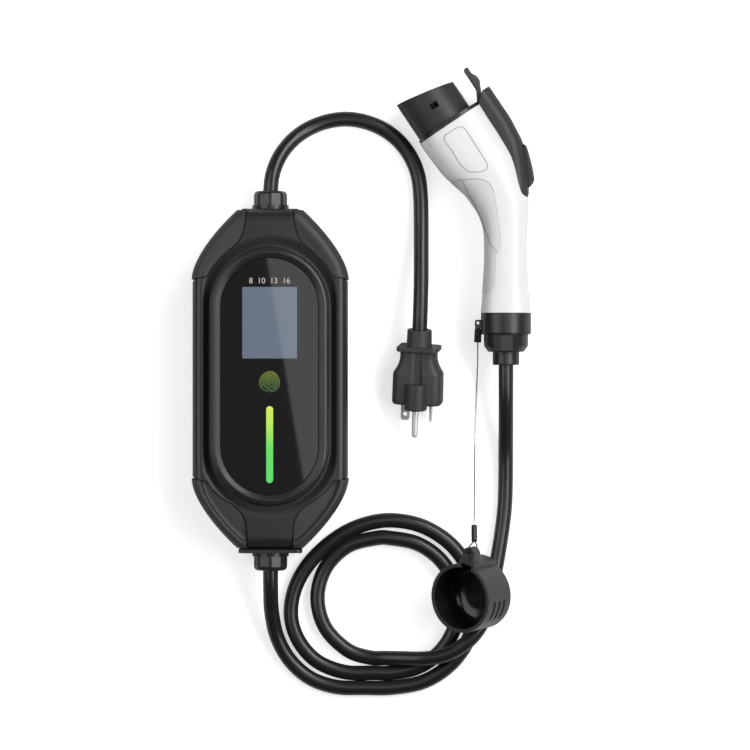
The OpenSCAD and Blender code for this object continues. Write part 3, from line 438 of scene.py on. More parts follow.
def counter(points):
    """The same outline, running counter-clockwise."""
    area = sum(a.x * b.y - b.x * a.y for a, b in zip(points, points[1:] + points[:1]))
    return points if area >= 0 else points[::-1]


def frame_at(at, *turns):
    """A frame at a place in millimetres, turned by degrees about its own axes in order."""
    made = Matrix.Translation(Vector(at) / 1000)
    for degrees, axis in turns:
        made = made @ Matrix.Rotation(radians(degrees), 4, axis)
    return made


def moved(obj, matrix):
    obj.data.transform(matrix)
    return obj


def slab(name, points, low, high, rounding, steps=4, upper=None):
    """A flat piece of a plan outline, with its lower and upper edges rounded."""
    upper = rounding if upper is None else upper
    rows = [(low + rounding * (1 - cos(pi / 2 * i / steps)),
             rounding * (1 - sin(pi / 2 * i / steps))) for i in range(steps + 1)]
    rows += [(high - upper * (1 - sin(pi / 2 * i / steps)),
              upper * (1 - cos(pi / 2 * i / steps))) for i in range(steps + 1)]
    return skin(name, [[(*p, z) for p in drawn_in(points, inset)] for z, inset in rows])


def rounded(points, radius, steps=5):
    """A plan outline with its corners rounded."""
    made = []
    count = len(points)
    for i in range(count):
        before, corner, after = Vector(points[i - 1]), Vector(points[i]), Vector(points[(i + 1) % count])
        cut = min(radius, (before - corner).length * 0.45, (after - corner).length * 0.45)
        start = corner + (before - corner).normalized() * cut
        end = corner + (after - corner).normalized() * cut
        for j in range(steps + 1):
            t = j / steps
            made.append(start * (1 - t) ** 2 + corner * 2 * t * (1 - t) + end * t * t)
    return made


def table_value(table, x):
    """Straight interpolation in a table of rising x."""
    if x <= table[0][0]:
        return table[0][1]
    for (x0, y0), (x1, y1) in zip(table, table[1:]):
        if x <= x1:
            return y0 + (y1 - y0) * (x - x0) / max(x1 - x0, 1e-9)
    return table[-1][1]


# Control box

BOX_W, BOX_L, SIDE_L, END_W = 113, 248, 144, 46
JOINT_Z = 24
GLASS_W, GLASS_L, GLASS_SHIFT = 71, 172, 1.9
GLASS_TOP, SEAT_Z = 52.8, 50.4
GLASS_HALF = (GLASS_L - GLASS_W) / 2
# Foot of the raised ring, as a distance from the glass
FOOT_AT = 8.3
# Room for the screw heads in the back: places in the right half, and radius
SCREWS_AT = ((17, -101), (44.3, -46), (44.3, 46), (17, 101))
SCREW_R = 3.45


def cubic(a, b, c, d, t):
    return a * (1 - t) ** 3 + 3 * b * t * (1 - t) ** 2 + 3 * c * t * t * (1 - t) + d * t ** 3


def quarter(inset, steps=20):
    """The upper right quarter of the box's outline, drawn in by an inset."""
    a = Vector((END_W / 2 - 0.384 * inset, BOX_L / 2 - 1 - inset))
    d = Vector((BOX_W / 2 - inset, SIDE_L / 2))
    k = 1 - inset / 60
    made = [cubic(d, d + k * Vector((0, 14)), a + k * Vector((17.5, -16)), a, i / steps)
            for i in range(steps + 1)]
    return made + [a + Vector((-3, 1))]


def box_outline(inset):
    part = quarter(inset)
    back = part[::-1]
    return (part + [Vector((-p.x, p.y)) for p in back] + [-p for p in part]
            + [Vector((p.x, -p.y)) for p in back])


OUTLINES = {}


def reach(ray, inset):
    """Distance along a ray to the box's outline drawn in by an inset."""
    at, along = ray
    key = round(inset, 3)
    if key not in OUTLINES:
        OUTLINES[key] = box_outline(inset)
    points = OUTLINES[key]
    far = 0.0
    for a, b in zip(points, points[1:] + points[:1]):
        side = b - a
        cross = along.x * side.y - along.y * side.x
        if abs(cross) > 1e-9:
            gap = a - at
            share = (gap.x * along.y - gap.y * along.x) / cross
            if -1e-6 <= share <= 1 + 1e-6:
                far = max(far, (gap.x * side.y - gap.y * side.x) / cross)
    return far


def glass_ray(angle, end=0):
    """Start and direction of a ray out of the glass's upper round end, or of its lower one."""
    along = Vector((cos(angle), sin(angle)))
    return Vector((0, GLASS_SHIFT + GLASS_HALF * (1 - 2 * end))) + along * GLASS_W / 2, along


def glass_rays(arc_steps, side_steps):
    made = []
    for end in (0, 1):
        made += [glass_ray(pi * (end + i / arc_steps), end) for i in range(arc_steps + 1)]
        along = Vector((2 * end - 1, 0))
        for i in range(1, side_steps):
            y = GLASS_HALF * (1 - 2 * i / side_steps) * (1 - 2 * end)
            made.append((Vector((along.x * GLASS_W / 2, GLASS_SHIFT + y)), along))
    return made


def ring_of(ray, profile):
    at, along = ray
    return [(*(at + along * d), z) for d, z in profile]


def case_profile(ray, steps=16):
    """Section of the front shell along a ray: a closed line of distance and height."""
    end = ray[1].y ** 2
    edge_w = 6.6 + 2.4 * end
    top = 45.3 + 1.7 * end
    foot_z = 41.8 + 3.5 * end
    line = [(reach(ray, 5.8), JOINT_Z), (reach(ray, 0.3), JOINT_Z),
            (reach(ray, 0), JOINT_Z + 0.3), (reach(ray, 0), 31)]
    for i in range(steps + 1):
        turn = pi / 2 * i / steps
        line.append((reach(ray, edge_w * (1 - cos(turn))), 37.1 + (top - 37.1) * sin(turn)))
    start = line[-1][0]
    span = min(start - FOOT_AT - 0.3, 9)
    for i in range(1, 7):
        line.append((start + (FOOT_AT + span - start) * i / 6, top))
    for i in range(1, 15):
        share = 1 - i / 14
        line.append((FOOT_AT + span * share, foot_z + (top - foot_z) * share * share * (3 - 2 * share)))
    line += [(7.95, foot_z + 0.15), (7.75, foot_z + 0.8), (7.6, foot_z + 2.4), (7.5, 50.8), (7.35, 52.4),
             (7.1, 53.5), (6.6, 54.35), (5.9, 54.95), (5.1, 55.35), (4.4, 55.57), (3.9, 55.62),
             (3.5, 55.54), (3.2, 55.42), (2.9, 55.22), (0.35, 53.85), (0.15, 53.6), (0.15, SEAT_Z),
             (-2.6, SEAT_Z), (-2.6, 40.4), (reach(ray, 12.8), 38.6), (reach(ray, 7), 38),
             (reach(ray, 5.8), 36)]
    return line


# Inner edges of the upper and lower guards, seen from above
GUARD_EDGE = [(55.4, 72.2), (45.2, 74.8), (42.4, 80), (36.6, 87), (30, 93.2), (23.4, 99), (20, 105),
              (17.8, 113.5), (17, 125)]
LOWER_EDGE = [(55.4, 72.2), (45.2, 74.8), (42.6, 79.2), (34.4, 86.8), (26.4, 91.4), (20.4, 97.4),
              (17.4, 104.4), (16.6, 113.5), (16.4, 125)]
GUARD_END = 123.3


def guard_prism(name, points, grow, low, high):
    """Upright block over a guard's area, grown by a distance over its inner edge."""
    edge = [Vector(points[0])] + smooth(points[1:], 6)
    sides = outward([Vector((100, 60))] + edge[::-1] + [Vector((100, 125))])[1:-1][::-1]
    made = [p + n * grow for p, n in zip(edge, sides)]
    made[0] = Vector((80, edge[0].y - grow))
    made.insert(1, edge[0] + Vector((0, -grow)))
    made = [p for p in made if p.y < GUARD_END] + [Vector((made[-1].x, GUARD_END + grow)),
                                                   Vector((80, GUARD_END + grow))]
    return prism(name, made[::-1], low, high)


def corner_rays(count):
    return [glass_ray(radians(12 + 70 * i / count)) for i in range(count + 1)]


def guard_line(ray, edge_w, insets, steps=16):
    """Section of a guard: a rounded outer side, then drops of its top at distances from the outline."""
    end = ray[1].y ** 2
    top = 46 + 1.5 * end
    line = [(reach(ray, 3.35), 3.4), (reach(ray, -0.2), 3.4), (reach(ray, -0.6), 3.6),
            (reach(ray, -0.7), 4.2), (reach(ray, -0.7), 22), (reach(ray, -0.7), 37.5)]
    for i in range(1, steps + 1):
        turn = pi / 2 * i / steps
        line.append((reach(ray, -0.7 + edge_w * (1 - cos(turn))),
                     37.5 + (top - 37.5) * sin(turn)))
    for inset, drop in insets:
        line.append((reach(ray, inset), top - drop))
    line += [(reach(ray, 30), 42.2), (reach(ray, 9), 42.2), (reach(ray, 6), 41.5),
             (reach(ray, 4), 38), (reach(ray, 3.35), 34)]
    return line


def guard_profile(ray):
    return guard_line(ray, 8.6, ((8.8, 0.08), (9.8, 0.3), (11.2, 0.75), (13.2, 1.35), (15.5, 1.8), (19, 2.05),
                                 (30, 2.1)))


def rimmed_profile(ray):
    return guard_line(ray, 5.4, ((5.2, 0.1), (5.7, 0.4), (6.2, 1), (6.7, 1.9), (7.4, 2.6), (8.4, 3),
                                 (9.6, 3.1), (11, 2.95), (13, 2.6), (16, 2.3), (30, 2.2)))


def recess_profile(ray):
    far = reach(ray, 0) + 8
    return [(reach(ray, 3.2), 3.25), (far, 3.25), (far, 60), (reach(ray, 31), 60),
            (reach(ray, 31), 42), (reach(ray, 9), 42), (reach(ray, 5.9), 41.3),
            (reach(ray, 3.9), 38), (reach(ray, 3.2), 34)]


CORNERS = (("upper_left", -1, 1, GUARD_EDGE), ("upper_right", 1, 1, GUARD_EDGE),
           ("lower_left", -1, -1, LOWER_EDGE), ("lower_right", 1, -1, LOWER_EDGE))


def corner_piece(name, profile, count, grow, x, y, edge):
    """Part of a ring section that lies in the area of one guard."""
    made = skin(name, [ring_of(ray, profile(ray)) for ray in corner_rays(count)])
    combine(made, guard_prism("area", edge, grow, 1, 70), "INTERSECT")
    piece = mirrored(made, name, x, y)
    remove(made)
    piece.name = name
    return piece


front_case = wreath("front_case", [ring_of(ray, case_profile(ray)) for ray in glass_rays(60, 20)])
back_rows = [(8.4 * (1 - sin(pi / 2 * i / 9)), 7 * (1 - cos(pi / 2 * i / 9)))
             for i in range(9, -1, -1)]
back_rows += [(JOINT_Z - 0.3, 0), (JOINT_Z, 0.3)]
rear_case = skin("rear_case", [[(*p, z) for p in box_outline(inset)] for z, inset in back_rows])
for _, x, y, edge in CORNERS:
    recess = corner_piece("recess", recess_profile, 40, 0.3, x, y, edge)
    combine(front_case, recess, keep=True)
    combine(rear_case, recess)
    # Notch at the straight end of the guard
    notch = [(x * 56.6 + dx, y * 71.7 + dy)
             for dx, dy in ((-1.3, 0), (0, -0.75), (1.5, -0.9), (1.5, 0.9), (0, 0.75))]
    combine(front_case, prism("notch", notch, 10, 44))
for side in (-1, 1):
    for x, y in SCREWS_AT:
        combine(rear_case, bore("hole", side * x, y, -1, 5.4, SCREW_R))
finished(front_case, "case_black", "front_shell")
finished(rear_case, "case_black", "rear_shell")

for corner, x, y, edge in CORNERS:
    section = guard_profile if y > 0 else rimmed_profile
    guard = corner_piece("rubber_guard_" + corner, section, 56, -0.45, x, y, edge)
    finished(guard, "guard_rubber", "guard_" + corner)


# Glass front

def stadium(long, wide, steps, y):
    half = (long - wide) / 2
    return [Vector((wide / 2 * cos(a), y + wide / 2 * sin(a) + (half if end == 0 else -half)))
            for end in (0, 1) for a in [pi * (end + i / steps) for i in range(steps + 1)]]


BAR_W, BAR_L, BAR_Y = 5.7, 56.4, -47.5
BAR_SEEN = 0.3
LCD_W, LCD_L, LCD_Y = 39.6, 51.8, 40.8
TOUCH_D, TOUCH_Y = 15.2, -2.1

glass_plan = stadium(GLASS_L, GLASS_W, 48, GLASS_SHIFT)
glass = slab("glass_plate", glass_plan, SEAT_Z + 0.02, GLASS_TOP, 0.3, upper=0.45)
bar_plan = stadium(BAR_L, BAR_W, 12, BAR_Y)
combine(glass, prism("slot", drawn_in(bar_plan, -0.08), 45, 60))
finished(glass, "front_glass", "glass_panel")
finished(slab("light_strip", drawn_in(bar_plan, BAR_SEEN), 48.6, GLASS_TOP + 0.02, 0.2), "light_guide",
         "light_pipe")

# The display's window, flush in the glass
window = rounded(box_plan(LCD_W / 2, LCD_L / 2, 0, LCD_Y), 0.5, 3)
finished(slab("display_window", window, GLASS_TOP - 0.3, GLASS_TOP + 0.03, 0.02), "display",
         look="display_window")


def ribbon(points, wide, low, high):
    """Sections, four corners each, of a flat strip of a width along plan points."""
    count = len(points)
    rows = []
    for i in range(count):
        along = (points[min(i + 1, count - 1)] - points[max(i - 1, 0)]).normalized()
        side = Vector((along.y, -along.x)) * wide / 2
        a, b = points[i] - side, points[i] + side
        rows.append([(*a, low), (*b, low), (*b, high), (*a, high)])
    return rows


def lines_piece(name, lines, wide, low, high):
    points, faces = [], []
    for line in lines:
        rings = ribbon(line, wide, low, high)
        start = len(points)
        points += [p for ring in rings for p in ring]
        last = start + 4 * (len(rings) - 1)
        faces += [[start + i for i in face] for face in side_faces(4, len(rings))]
        faces += [[start, start + 1, start + 2, start + 3], [last, last + 1, last + 2, last + 3]]
    return mesh_piece(name, points, faces)


def whorl():
    """Plain ridges in the shape of a finger's touch, inside a circle."""
    lines = []
    for k in range(6):
        radius = 0.75 + 1.3 * k
        half_turn = radians((176, 158, 164, 166, 160, 172)[k])
        gap = radians((180, 150, 205, 165, 215, 185)[k])
        line = []
        for i in range(49):
            turn = gap + pi - half_turn + 2 * half_turn * i / 48
            bend = 1 + 0.05 * sin(3 * turn + 0.8) * min(k, 3) / 3
            line.append(Vector((radius * bend * sin(turn), radius * bend * cos(turn) + TOUCH_Y)))
        lines.append(line)
    return lines


finished(bore("touch_disc", 0, TOUCH_Y, GLASS_TOP - 0.2, GLASS_TOP + 0.015, TOUCH_D / 2, 48), "light_guide",
         look="touch_disc")
finished(lines_piece("touch_mark", whorl(), 0.45, GLASS_TOP - 0.05, GLASS_TOP + 0.04), "light_guide",
         look="touch_lines")

# A plain row of current settings over the display
text = bpy.data.curves.new("settings_row", "FONT")
text.body = "8  10  13  16"
text.size = 0.0058
text.align_x = "CENTER"
text.extrude = 0.00003
row = bpy.data.objects.new("settings_row", text)
scene.collection.objects.link(row)
row.location = (0, 0.0693, GLASS_TOP / 1000)
bpy.context.view_layer.update()
row_mesh = bpy.data.meshes.new_from_object(row.evaluated_get(bpy.context.evaluated_depsgraph_get()))
row_mesh.transform(row.matrix_world)
bpy.data.objects.remove(row)
numbers = bpy.data.objects.new("settings_numbers", row_mesh)
scene.collection.objects.link(numbers)
finished(numbers, "display", look="print_white")


# Vehicle connector

CONN_Z = 25
NOSE_AT = Vector((127.4, 186.4, CONN_Z))
NOSE_TURN = 33.7
NOSE_FRAME = frame_at(NOSE_AT, (NOSE_TURN, "Z"), (-90, "X"))
SQUARENESS = 2.5
# Each station of the handle: middle x and y, width, depth, and heading of the section
STATIONS = (
    (131.9, 186.8, 54.4, 48.4, 33.7), (137.5, 178.1, 54.2, 48.4, 30.4), (143.8, 169, 53.8, 48.2, 28.4),
    (150.1, 159.9, 53, 47.4, 25.6), (155.2, 153.1, 51, 45.4, 22), (159.3, 146.9, 47.8, 42.8, 19.3),
    (163.4, 140.2, 43.4, 40, 18), (167, 132.8, 40.8, 37.4, 16.2), (170, 125.8, 38.4, 35.6, 13.4),
    (171.2, 117.1, 34.4, 34.2, 9), (171.8, 108.7, 32.2, 33.6, 4), (172, 99, 31.4, 33.6, 0),
    (171.9, 86.9, 31.2, 34, 0), (171.8, 72.3, 32.6, 34.4, 0), (171.8, 61, 34.3, 35, 0),
    (171.8, 48.2, 36.6, 36.4, 0))


def rail(row, angle, shrink):
    """Point of a handle section, from its width's far end at 0 over its top at 90 degrees."""
    x, y, wide, deep, heading = row
    c, s = cos(angle), sin(angle)
    across = (wide / 2 - shrink) * copysign(abs(c) ** (2 / SQUARENESS), c)
    up = (deep / 2 - shrink) * copysign(abs(s) ** (2 / SQUARENESS), s)
    turn = radians(heading)
    return (x + across * cos(turn), y + across * sin(turn), CONN_Z + up)


def handle_rows(first=0, last=15, steps=5):
    return smooth(STATIONS, steps)[first * steps:last * steps + 1]


def half_handle(name, shrink=0.0, first=0, last=15, drop=0.0, groove=0.0, sides=36):
    """Upper half of the handle's loft. It reaches a drop below the joint, or has a groove there."""
    rings = []
    for row in handle_rows(first, last):
        ring = [rail(row, pi * i / sides, shrink) for i in range(sides + 1)]
        if drop:
            ring += [(*ring[-1][:2], CONN_Z - drop), (*ring[0][:2], CONN_Z - drop)]
        if groove:
            inner = [rail(row, 0, shrink + groove), rail(row, pi, shrink + groove)]
            ring = ([inner[0], (*ring[0][:2], CONN_Z + groove)] + ring[1:-1]
                    + [(*ring[-1][:2], CONN_Z + groove), inner[1]])
        rings.append(ring)
    return skin(name, rings)


def full_handle(name, shrink, sides=64):
    return skin(name, [[rail(row, 2 * pi * i / sides, shrink) for i in range(sides)]
                       for row in handle_rows()])


def by_nose(across, out):
    """Plan point by its distance from the nose's axis and its height over the nose's foot."""
    c, s = cos(radians(NOSE_TURN)), sin(radians(NOSE_TURN))
    return Vector((NOSE_AT.x + across * c - out * s, NOSE_AT.y + across * s + out * c))


PIVOT = Vector((171.3, 185.6))
LEVER_T, LEVER_TURN, RUN_GAP = 10, 6, 0.6
HOOK = [by_nose(*p) for p in ((27.5, -1.5), (32.7, 8), (32.7, 25.2), (36.5, 25.7), (36.6, 19.4),
                              (38.5, 16.3), (38.7, 11.9), (36.9, 9), (35.5, 5.9), (31, -1.6))]
ARM_OUTER = [(160.6, 197.2), (169.6, 190.2), (173.6, 187.4), (177.4, 182.2)]
TRIGGER = [(184.8, 171.5), (187, 169.3), (189, 162.6), (191.1, 154.3), (192.6, 145.9), (192, 143.1),
           (188.8, 139.2), (186.4, 141.6), (186.3, 150), (185, 157.6), (182.4, 165)]
ARM_INNER = [(179.6, 169.8), (170.4, 181.6), (167.4, 184.6), (157, 193.4), (151.8, 197.6)]
LEVER_PLAN = counter([Vector(p) for p in HOOK + ARM_OUTER + TRIGGER + ARM_INNER])


def turned(points, degrees):
    c, s = cos(radians(degrees)), sin(radians(degrees))
    return [PIVOT + Vector((c * (p.x - PIVOT.x) - s * (p.y - PIVOT.y),
                            s * (p.x - PIVOT.x) + c * (p.y - PIVOT.y))) for p in points]


PAD_PLAN = counter(rounded([
    (183.2, 170), (185.6, 171.2), (187, 169.3), (189, 162.6), (191.1, 154.3), (192.6, 145.9), (192, 143.1),
    (188.6, 139.4), (186.6, 140.6), (184.2, 143.6), (183.7, 150), (183.2, 158)], 1.6, 4))
PAD_HALF = 8.6
# Rooms that the lever and its pad need: plan, half height and shares of the swing
LEVER_ROOM = (drawn_in(LEVER_PLAN, -RUN_GAP - 0.2), LEVER_T / 2 + RUN_GAP, [1.1 * k / 3 for k in range(4)])
PAD_ROOM = (drawn_in(PAD_PLAN, -RUN_GAP), PAD_HALF + RUN_GAP, (0, 0.4, 0.8, 1.1))


def leave_room(obj, plan, half, shares):
    for share in shares:
        combine(obj, prism("room", turned(plan, -LEVER_TURN * share), CONN_Z - half, CONN_Z + half))


# Soft grip area and the panel on the head, seen from above
GRIP_AREA = rounded([
    (120, 60), (154, 61), (160, 63), (163.4, 67.5), (163.6, 84), (164.2, 90.6), (167.4, 95), (167.4, 100.6),
    (166, 114), (164.6, 124), (163.2, 133), (161, 140.8), (156.6, 144.6), (150, 145.6), (140, 145.3),
    (129.8, 144.4), (120, 145.2)], 3.5)
PANEL = rounded([
    (126.2, 173.2), (132.6, 164.9), (137.8, 155.9), (144, 150.1), (152.6, 150.1), (157.1, 151.8),
    (158.1, 155.6), (141.2, 182.2), (137.2, 183.2), (126.7, 176.4)], 2.4)
# Line pressed into the grip, and the grip's upper edge
GRIP_LINE = smooth([(138.6, 145.6), (141.8, 140.2), (144.5, 133.9), (147.8, 129.2), (153.8, 116.2),
                           (158, 104.5), (160.3, 97.8), (165.5, 91.6)], 5)
EDGE_LINE = smooth([(133.5, 143.8), (140, 144.4), (149.6, 144.8), (156, 143.8), (160, 140.6),
                    (162.4, 136)], 5)
POSTS = [(147, 171), (174, 119), (173, 96)]


def grip_prism(grow):
    return prism("area", drawn_in(GRIP_AREA, -grow), CONN_Z + 0.4, 65)


def wall_line(name, line, wide, low, depth, closed=False):
    """An upright wall along a plan line, down to a depth under the handle's surface."""
    rings = ribbon(line + line[:1] if closed else line, wide, CONN_Z + low, 60)
    made = wreath(name, rings[:-1]) if closed else skin(name, rings)
    return combine(made, full_handle("core", depth))


handle = half_handle("handle_shell", groove=0.3)
hollow = half_handle("hollow", 2.6, 0, 13, drop=2)
for x, y in POSTS:
    combine(hollow, bore("post", x, y, 0, 60, 4.5))
combine(hollow, bore("rib", 168, 158, CONN_Z + 3, 70, 3.5))
combine(handle, hollow)
pocket = grip_prism(0)
combine(pocket, half_handle("core", 1.4, 1, 14, drop=2))
combine(handle, pocket)
leave_room(handle, *LEVER_ROOM)
leave_room(handle, *PAD_ROOM)
combine(handle, moved(prism("cut", box_plan(60, 60), -2.65, 20), NOSE_FRAME))
combine(handle, wall_line("line", PANEL, 0.75, 5, 0.55, True))
lower_handle = mirrored(handle, "handle_shell_lower", z=-1, z_middle=CONN_Z / 1000)
for x, y in POSTS:
    combine(lower_handle, bore("sink", x, y, -1, 7 if y > 150 else 12, 3.1))
# Grey lines of painted shade in the panel's groove, in the line pressed into the grip and along the grip's
# upper edge
for name, line, wide, low, top, closed in (("panel_line", PANEL, 0.6, 5, 0.12, True),
                                           ("grip_seam", GRIP_LINE, 0.45, 2, -0.02, False),
                                           ("grip_edge", EDGE_LINE, 0.45, 2, -0.02, False)):
    painted_shade_line = wall_line(name, line, wide, low, 0.5, closed)
    combine(painted_shade_line, full_handle("limit", top), "INTERSECT")
    finished(painted_shade_line, "handle_white", look="groove_painted_shade_grey")
finished(handle, "handle_white", "handle_upper")
finished(lower_handle, "handle_white", "handle_lower")

grip = half_handle("grip", 0.05)
combine(grip, grip_prism(-0.15), "INTERSECT")
pad = half_handle("pad", -0.35)
combine(pad, grip_prism(-1.6), "INTERSECT")
combine(grip, pad, "UNION")
combine(grip, half_handle("core", 1.25, drop=2))
combine(grip, wall_line("line", GRIP_LINE, 0.6, 2, 0.1))
finished(mirrored(grip, "grip_pad_lower", z=-1, z_middle=CONN_Z / 1000), "grip_grey", "grip_lower")
finished(grip, "grip_grey", "grip_upper")

# Dark plate in the lower window of the nose: painted shade for the nose's inside, so that the floor doesn't
# show through it
shade = slab("window_painted_shade", rounded(box_plan(4.8, 4.8), 1), 4.2, 5.6, 0.3)
finished(moved(shade, frame_at((119, 196.7, 0), (NOSE_TURN, "Z"))), "head_black", look="nose_black")

# Latch cover along the top of the head: a side view, rounded along its outer side
COVER_OUTER = smooth([(186.2, 128), (187.5, 131.5), (188.5, 135.5), (188.4, 142), (187.6, 150), (186, 162),
                             (184.9, 168), (183.5, 174.1), (179.3, 182.6), (174.3, 191.8), (169.2, 199.3),
                             (164.2, 206.8), by_nose(41.9, 4.7)], 5)
COVER_INNER = [by_nose(35.4, 4.7), by_nose(28.3, -1.8), Vector((140, 185)), Vector((150, 160)),
               Vector((172, 128))]
cover = prism("head_cover", COVER_OUTER + COVER_INNER, CONN_Z - 14.5, CONN_Z + 14.5)
around = [Vector((180, 90))] + COVER_OUTER + [Vector((140, 242.8)), Vector((80, 242.8)), Vector((80, 90))]
combine(cover, slab("rounding", around, CONN_Z - 14.5, CONN_Z + 14.5, 9.5, steps=18), "INTERSECT")
combine(cover, full_handle("core", -0.15))
leave_room(cover, *LEVER_ROOM)
plate = [rail(Vector((0, 0, 52.9, 50.5, 0)), 2 * pi * i / 64, 0) for i in range(64)]
plate = [(p[0] + 3.3, p[2] - CONN_Z) for p in plate]
combine(cover, moved(prism("plate", plate, -2.8, 0.2), NOSE_FRAME))
combine(cover, bore("spring_room", *PIVOT, CONN_Z + 4, CONN_Z + 9, 3.2))
leave_room(cover, *PAD_ROOM)
finished(cover, "head_black", "latch_cover", look="nose_black")

# Latch lever
lever = slab("rocker", rounded(LEVER_PLAN, 1.6, 4), CONN_Z - LEVER_T / 2, CONN_Z + LEVER_T / 2, 1, steps=4)
combine(lever, bore("hub", *PIVOT, CONN_Z - LEVER_T / 2 + 0.01, CONN_Z + LEVER_T / 2 - 0.01, 4.4), "UNION")
combine(lever, bore("bore", *PIVOT, 0, 60, 1.56))
finished(lever, "head_black", "latch_lever", body="lever", look="lever_charcoal")
finished(slab("trigger_pad", PAD_PLAN, CONN_Z - PAD_HALF, CONN_Z + PAD_HALF, 1.4, steps=5), "head_black",
         body="lever", look="trigger_black_and_painted_shade")

# Tail of the connector: round pieces around the cable's axis, then the clip of the lanyard
TAIL_X = 172


def round_piece(name, rows, x=TAIL_X, z=CONN_Z, facets=0, depth=0.0, sides=96):
    """A round piece along Y from its radius at each place, with flats around it if facets are given."""
    rings = []
    for y, radius in rows:
        ring = []
        for i in range(sides):
            turn = 2 * pi * i / sides
            flat = radius
            if facets:
                off = (turn * facets / (2 * pi)) % 1 - 0.5
                flat = radius * (1 - depth) / max(cos(off * 2 * pi / facets), 1 - depth)
            ring.append((x + flat * sin(turn), y, z + flat * cos(turn)))
        rings.append(ring)
    return skin(name, rings)


collar = round_piece("collar", [(48.3, 18.15), (48.05, 18.3), (47.6, 18.32), (40, 18.3), (34, 18.3),
                                (33.2, 18.25), (32.7, 17.9), (32.5, 17.2)])
combine(collar, bore("room", TAIL_X, 40, 60, 61, 1))
finished(collar, "head_black", "tail_collar")
nut = round_piece("nut", [(32.8, 15.9), (32.4, 16.15), (31.8, 16.2), (24.6, 16.1), (23.6, 15.8), (20.4, 13.4),
                          (19.9, 12.8), (19.8, 12)])
for side in (1, -1):
    ridge = [(-8.9, 11), (-8.8, 13.7), (-4.3, 16.8), (4.3, 16.8), (8.8, 13.7), (8.9, 11)]
    rings = [[(TAIL_X + rx, y, CONN_Z + side * (rz - less)) for rx, rz in ridge]
             for y, less in ((32.1, 0.5), (31.8, 0.05), (31.4, 0), (20.6, 0), (19.8, 0.4), (19.3, 1))]
    combine(nut, skin("ridge", rings), "UNION")
finished(nut, "head_black", "clamp_nut", look="gland_black", angle=15)
sleeve_end = round_piece("sleeve_end", [(20.2, 9.7), (11, 9.75), (10.6, 9.65), (10.3, 9.35), (10.2, 8.9),
                                        (10.2, 6.4), (10.6, 5.9), (11.4, 5.7)])
finished(sleeve_end, "head_black", "bend_sleeve")

tab = slab("clip_tab", rounded(box_plan(2.7, 3.2, 151.9, 40.1), 1.8, 6), 23.5, 26.5, 0.4)
combine(tab, bore("hole", 151.5, 40.9, 20, 30, 1.05, 24))
finished(tab, "head_black", "lanyard_clip")
box = slab("upper_sleeve", rounded([(2.6, -5), (2.7, 5), (-2.5, 5.1), (-2.6, -4.9)], 0.6, 4), -1.8, 1.8, 0.5)
finished(moved(box, frame_at((151.5, 31.8, 23.1), (14, "X"), (-2, "Z"))), "head_black", "upper_ferrule")

# Gland nuts of the control box, with eight flats around them
GLAND_Z = 24
for name, way, node in (("inlet_collar", 1, "inlet_nut"), ("outlet_collar", -1, "outlet_nut")):
    start, end = (125.6, 137.3) if way > 0 else (128.2, 139.9)
    rows = [(start, 11.2), (start + 0.2, 11.9), (start + 0.7, 12.15), (end - 3.2, 12.15), (end - 1.6, 11.7),
            (end - 0.6, 10.8), (end - 0.1, 9.6), (end, 8.4), (end, 5.9), (end - 1, 5.6)]
    made = round_piece(name, [(way * y, r) for y, r in rows], 0, GLAND_Z, facets=8, depth=0.045)
    finished(made, "gland_black", node, angle=40)


# Plug, drawn with Z towards its pins

PLUG_FRAME = frame_at((108.6, 24.2, 20.4), (-1.7, "Z"), (100, "X"), (10, "Z"))
PLUG_W, PLUG_H, PLUG_L = 36.8, 23, 42.8
PLATE_X, PLATE_Y, PLATE_T = 30.6, 23.6, 3.4
GROUND_Y, BOSS_R, BOSS_L, BOSS_OUT = 7.6, 8.4, 19.4, 3.6
SLEEVE_D, SLEEVE_L = 18, 12.2
BLADE_GAP, BLADE_Y, BLADE_ROOT = 19, -4.2, 9


def squared(share):
    """A share of a circle's half width, moved towards a square."""
    return copysign(sqrt(abs(share)), share)


PLUG_WIDTHS = [(0, 0.735), (0.06, 0.722), (0.12, 0.722), (0.18, 0.738), (0.24, 0.772), (0.3, 0.825),
               (0.35, 0.885), (0.385, 0.935), (0.41, 0.968), (0.425, 0.982), (0.45, 0.988), (0.7, 0.996),
               (0.93, 1), (0.965, 0.992), (0.985, 0.975), (1, 0.945)]
PLUG_DEPTHS = [(0, 0.9), (0.15, 0.88), (0.3, 0.9), (0.42, 0.95), (0.5, 0.99), (0.6, 1), (0.95, 1), (1, 0.955)]
body_l = PLUG_L - PLATE_T
plug = skin("plug_shell", [
    [(PLUG_W / 2 * wide * squared(c), -0.6 + PLUG_H / 2 * table_value(PLUG_DEPTHS, share) * squared(s),
      PLATE_T - 0.5 + (body_l + 0.5) * share) for c, s in circle(1, 72)] for share, wide in PLUG_WIDTHS])
plate = rounded(box_plan(PLATE_X / 2, PLATE_Y / 2), 4, 6)
combine(plug, slab("plate", plate, 0, PLATE_T, 0.7, steps=3), "UNION")
sleeve = lathe("sleeve", [(z, (SLEEVE_D + wide) / 2) for wide, z in (
    (-1.2, -SLEEVE_L), (-0.3, -SLEEVE_L + 0.25), (0, -SLEEVE_L + 0.8), (0.3, -5), (0.8, 0), (0.8, 1))], 64)
combine(plug, sleeve, "UNION")
boss_foot = PLUG_L - BOSS_L + BOSS_OUT
boss = lathe("boss", [(boss_foot + z, BOSS_R + wide / 2) for wide, z in (
    (-1.6, 0), (-0.5, 0.2), (0, 0.8), (0, BOSS_L - 1.6), (-0.45, BOSS_L - 0.6), (-1.5, BOSS_L - 0.05),
    (-2, BOSS_L))], 64, 0, GROUND_Y)
combine(plug, bore("valley", 0, PLUG_H / 2 + 2.9, PLATE_T + 0.01, boss_foot + 1.5, 6, 48))
combine(plug, boss, "UNION")
